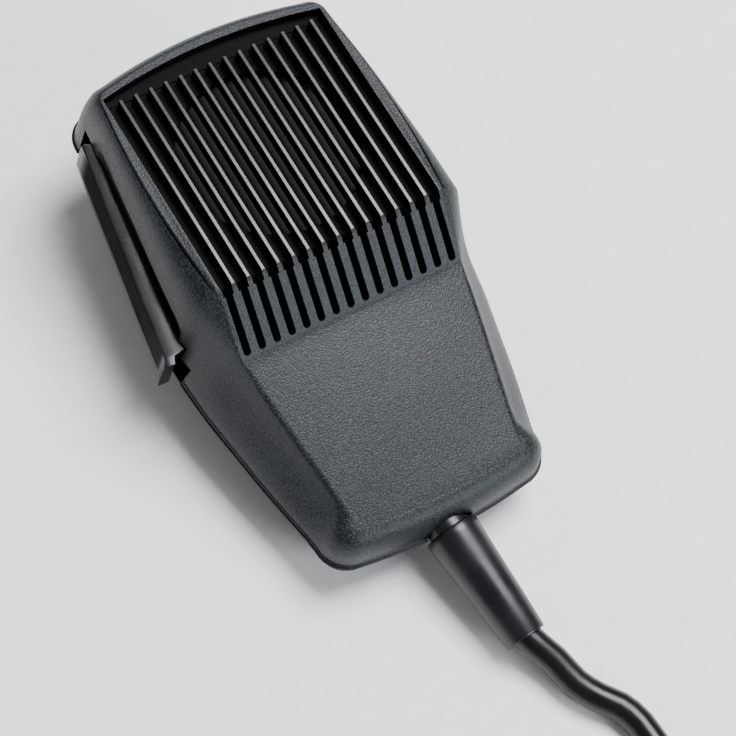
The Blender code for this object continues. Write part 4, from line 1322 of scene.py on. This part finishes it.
KEPT = {
    Finishes.STEEL: ("lever_pin", "lever_spring", *numbered("switch_screw", 2), *numbered("board_screw", 2),
                     "button_screw", "button_washer", "capsule_retainer", *numbered("retainer_screw", 2),
                     "cord_clamp", *numbered("clamp_screw", 2)),
    Finishes.CLOTH: ("dust_screen",),
    Finishes.RUBBER: ("capsule_gasket",),
    Finishes.ALUMINIUM: ("microphone_capsule",),
    Finishes.BOARD: ("circuit_board",),
    Finishes.SWITCH: ("switch_body", "switch_plunger", "capsule_capacitor", "plug_insert"),
    Finishes.BRASS: numbered("plug_contact", 4),
    Finishes.RED_LEAD: ("capsule_lead",),
    Finishes.WHITE_LEAD: ("switch_lead",),
}


def dress_kept_nodes() -> None:
    """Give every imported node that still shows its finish."""
    for finish, names in KEPT.items():
        for name in names:
            dress(frame["nodes"][name], finish)


class Studio:
    """The pale floor, the soft lights and the camera."""

    azimuth: float = math.radians(-46.07)
    elevation: float = math.radians(62.86)
    roll: float = math.radians(17.27)
    distance: float = 0.520
    target: Point = (0.00919, -0.01225, -0.00097)
    lens: float = 137.97

    def turn(self) -> Matrix:
        """Return the camera's rotation."""
        ca, sa = math.cos(self.azimuth), math.sin(self.azimuth)
        ce, se = math.cos(self.elevation), math.sin(self.elevation)
        back = Vector((sa * ce, -ca * ce, se))
        right = Vector((ca, sa, 0))
        up = back.cross(right)
        across = math.cos(self.roll) * right + math.sin(self.roll) * up
        upward = -math.sin(self.roll) * right + math.cos(self.roll) * up
        return Matrix((across, upward, back)).transposed()

    def camera(self) -> bpy.types.Object:
        """Add the camera that looks down on the microphone."""
        deselect()
        turn = self.turn()
        bpy.ops.object.camera_add()
        camera = bpy.context.object
        camera.name = "camera"
        camera.matrix_world = (Matrix.Translation(Vector(self.target) + self.distance * turn.col[2])
                               @ turn.to_4x4())
        camera.data.lens = self.lens
        camera.data.sensor_width = 36.0
        camera.data.clip_start = 0.01
        bpy.context.scene.camera = camera
        return camera

    def floor(self) -> bpy.types.Object:
        """Add the floor."""
        deselect()
        bpy.ops.mesh.primitive_plane_add(size=6.0, location=(0, 0, -0.0001))
        floor = bpy.context.object
        floor.name = "floor"
        dress(floor, Finishes.FLOOR)
        return floor

    def light(self, name: str, place_at: Point, size: float, watts: float, colour: str) -> bpy.types.Object:
        """Add a square soft light that points at the microphone.

        Args:
            name: the light's name.
            place_at: where it hangs.
            size: its side, in metres.
            watts: its power.
            colour: its colour, in hex.

        Returns:
            The light.
        """
        deselect()
        bpy.ops.object.light_add(type="AREA", location=place_at)
        light = bpy.context.object
        light.name = name
        light.data.size = size
        light.data.energy = watts
        light.data.color = linear(colour)[:3]
        aim = Vector(self.target) - Vector(place_at)
        light.rotation_euler = aim.to_track_quat("-Z", "Y").to_euler()
        return light

    def lights(self) -> None:
        """Add the lights and the pale surroundings."""
        self.light("overhead", (0.34, 0.08, 0.95), 0.55, 21.0, "#fbfdff")
        self.light("front", (0.36, -0.90, 0.46), 0.45, 8.0, "#f2f7ff")
        world = bpy.data.worlds.new("pale_room")
        world.use_nodes = True
        background = world.node_tree.nodes["Background"]
        background.inputs["Color"].default_value = linear("#f4f6f8")
        background.inputs["Strength"].default_value = 0.34
        bpy.context.scene.world = world


class HandMicrophone:
    """The whole microphone, built piece by piece."""

    def __init__(self) -> None:
        """Start with no pieces."""
        self.pieces: list[bpy.types.Object] = []

    def report(self, thing: bpy.types.Object) -> None:
        """Keep a piece, and say how many polygons it has."""
        self.pieces.append(thing)
        faces = len(thing.data.polygons) if thing.type == "MESH" else 0
        LOG.info("%s: %d faces", thing.name, faces)

    def build(self) -> None:
        maker = CurlyCord(CORD)
        cord = maker.build()
        self.report(cord)
        self.report(FrontCover().build())
        self.report(BackCover().build())
        self.report(TalkLever(LeverSizes()).build())
        boot = StrainRelief().build()
        self.report(boot)
        plug = Plug().build()
        for piece in plug:
            self.report(piece)
        self.report(HangUpButton().build())
        for number, (x, y) in enumerate(COVER.case_screws, 1):
            self.report(CaseScrew().build(number, x, y))
        dress_kept_nodes()
        kept = [frame["nodes"][name] for name in ("plug_insert", *numbered("plug_contact", 4))]
        maker.declare(cord, [boot, *plug, *kept])


def main() -> None:
    """Build the microphone, its floor, its light and its camera."""
    logging.basicConfig(level=logging.INFO, format="%(message)s")
    studio = Studio()
    studio.camera()
    HandMicrophone().build()
    studio.floor()
    studio.lights()


if __name__ == "__main__":
    main()
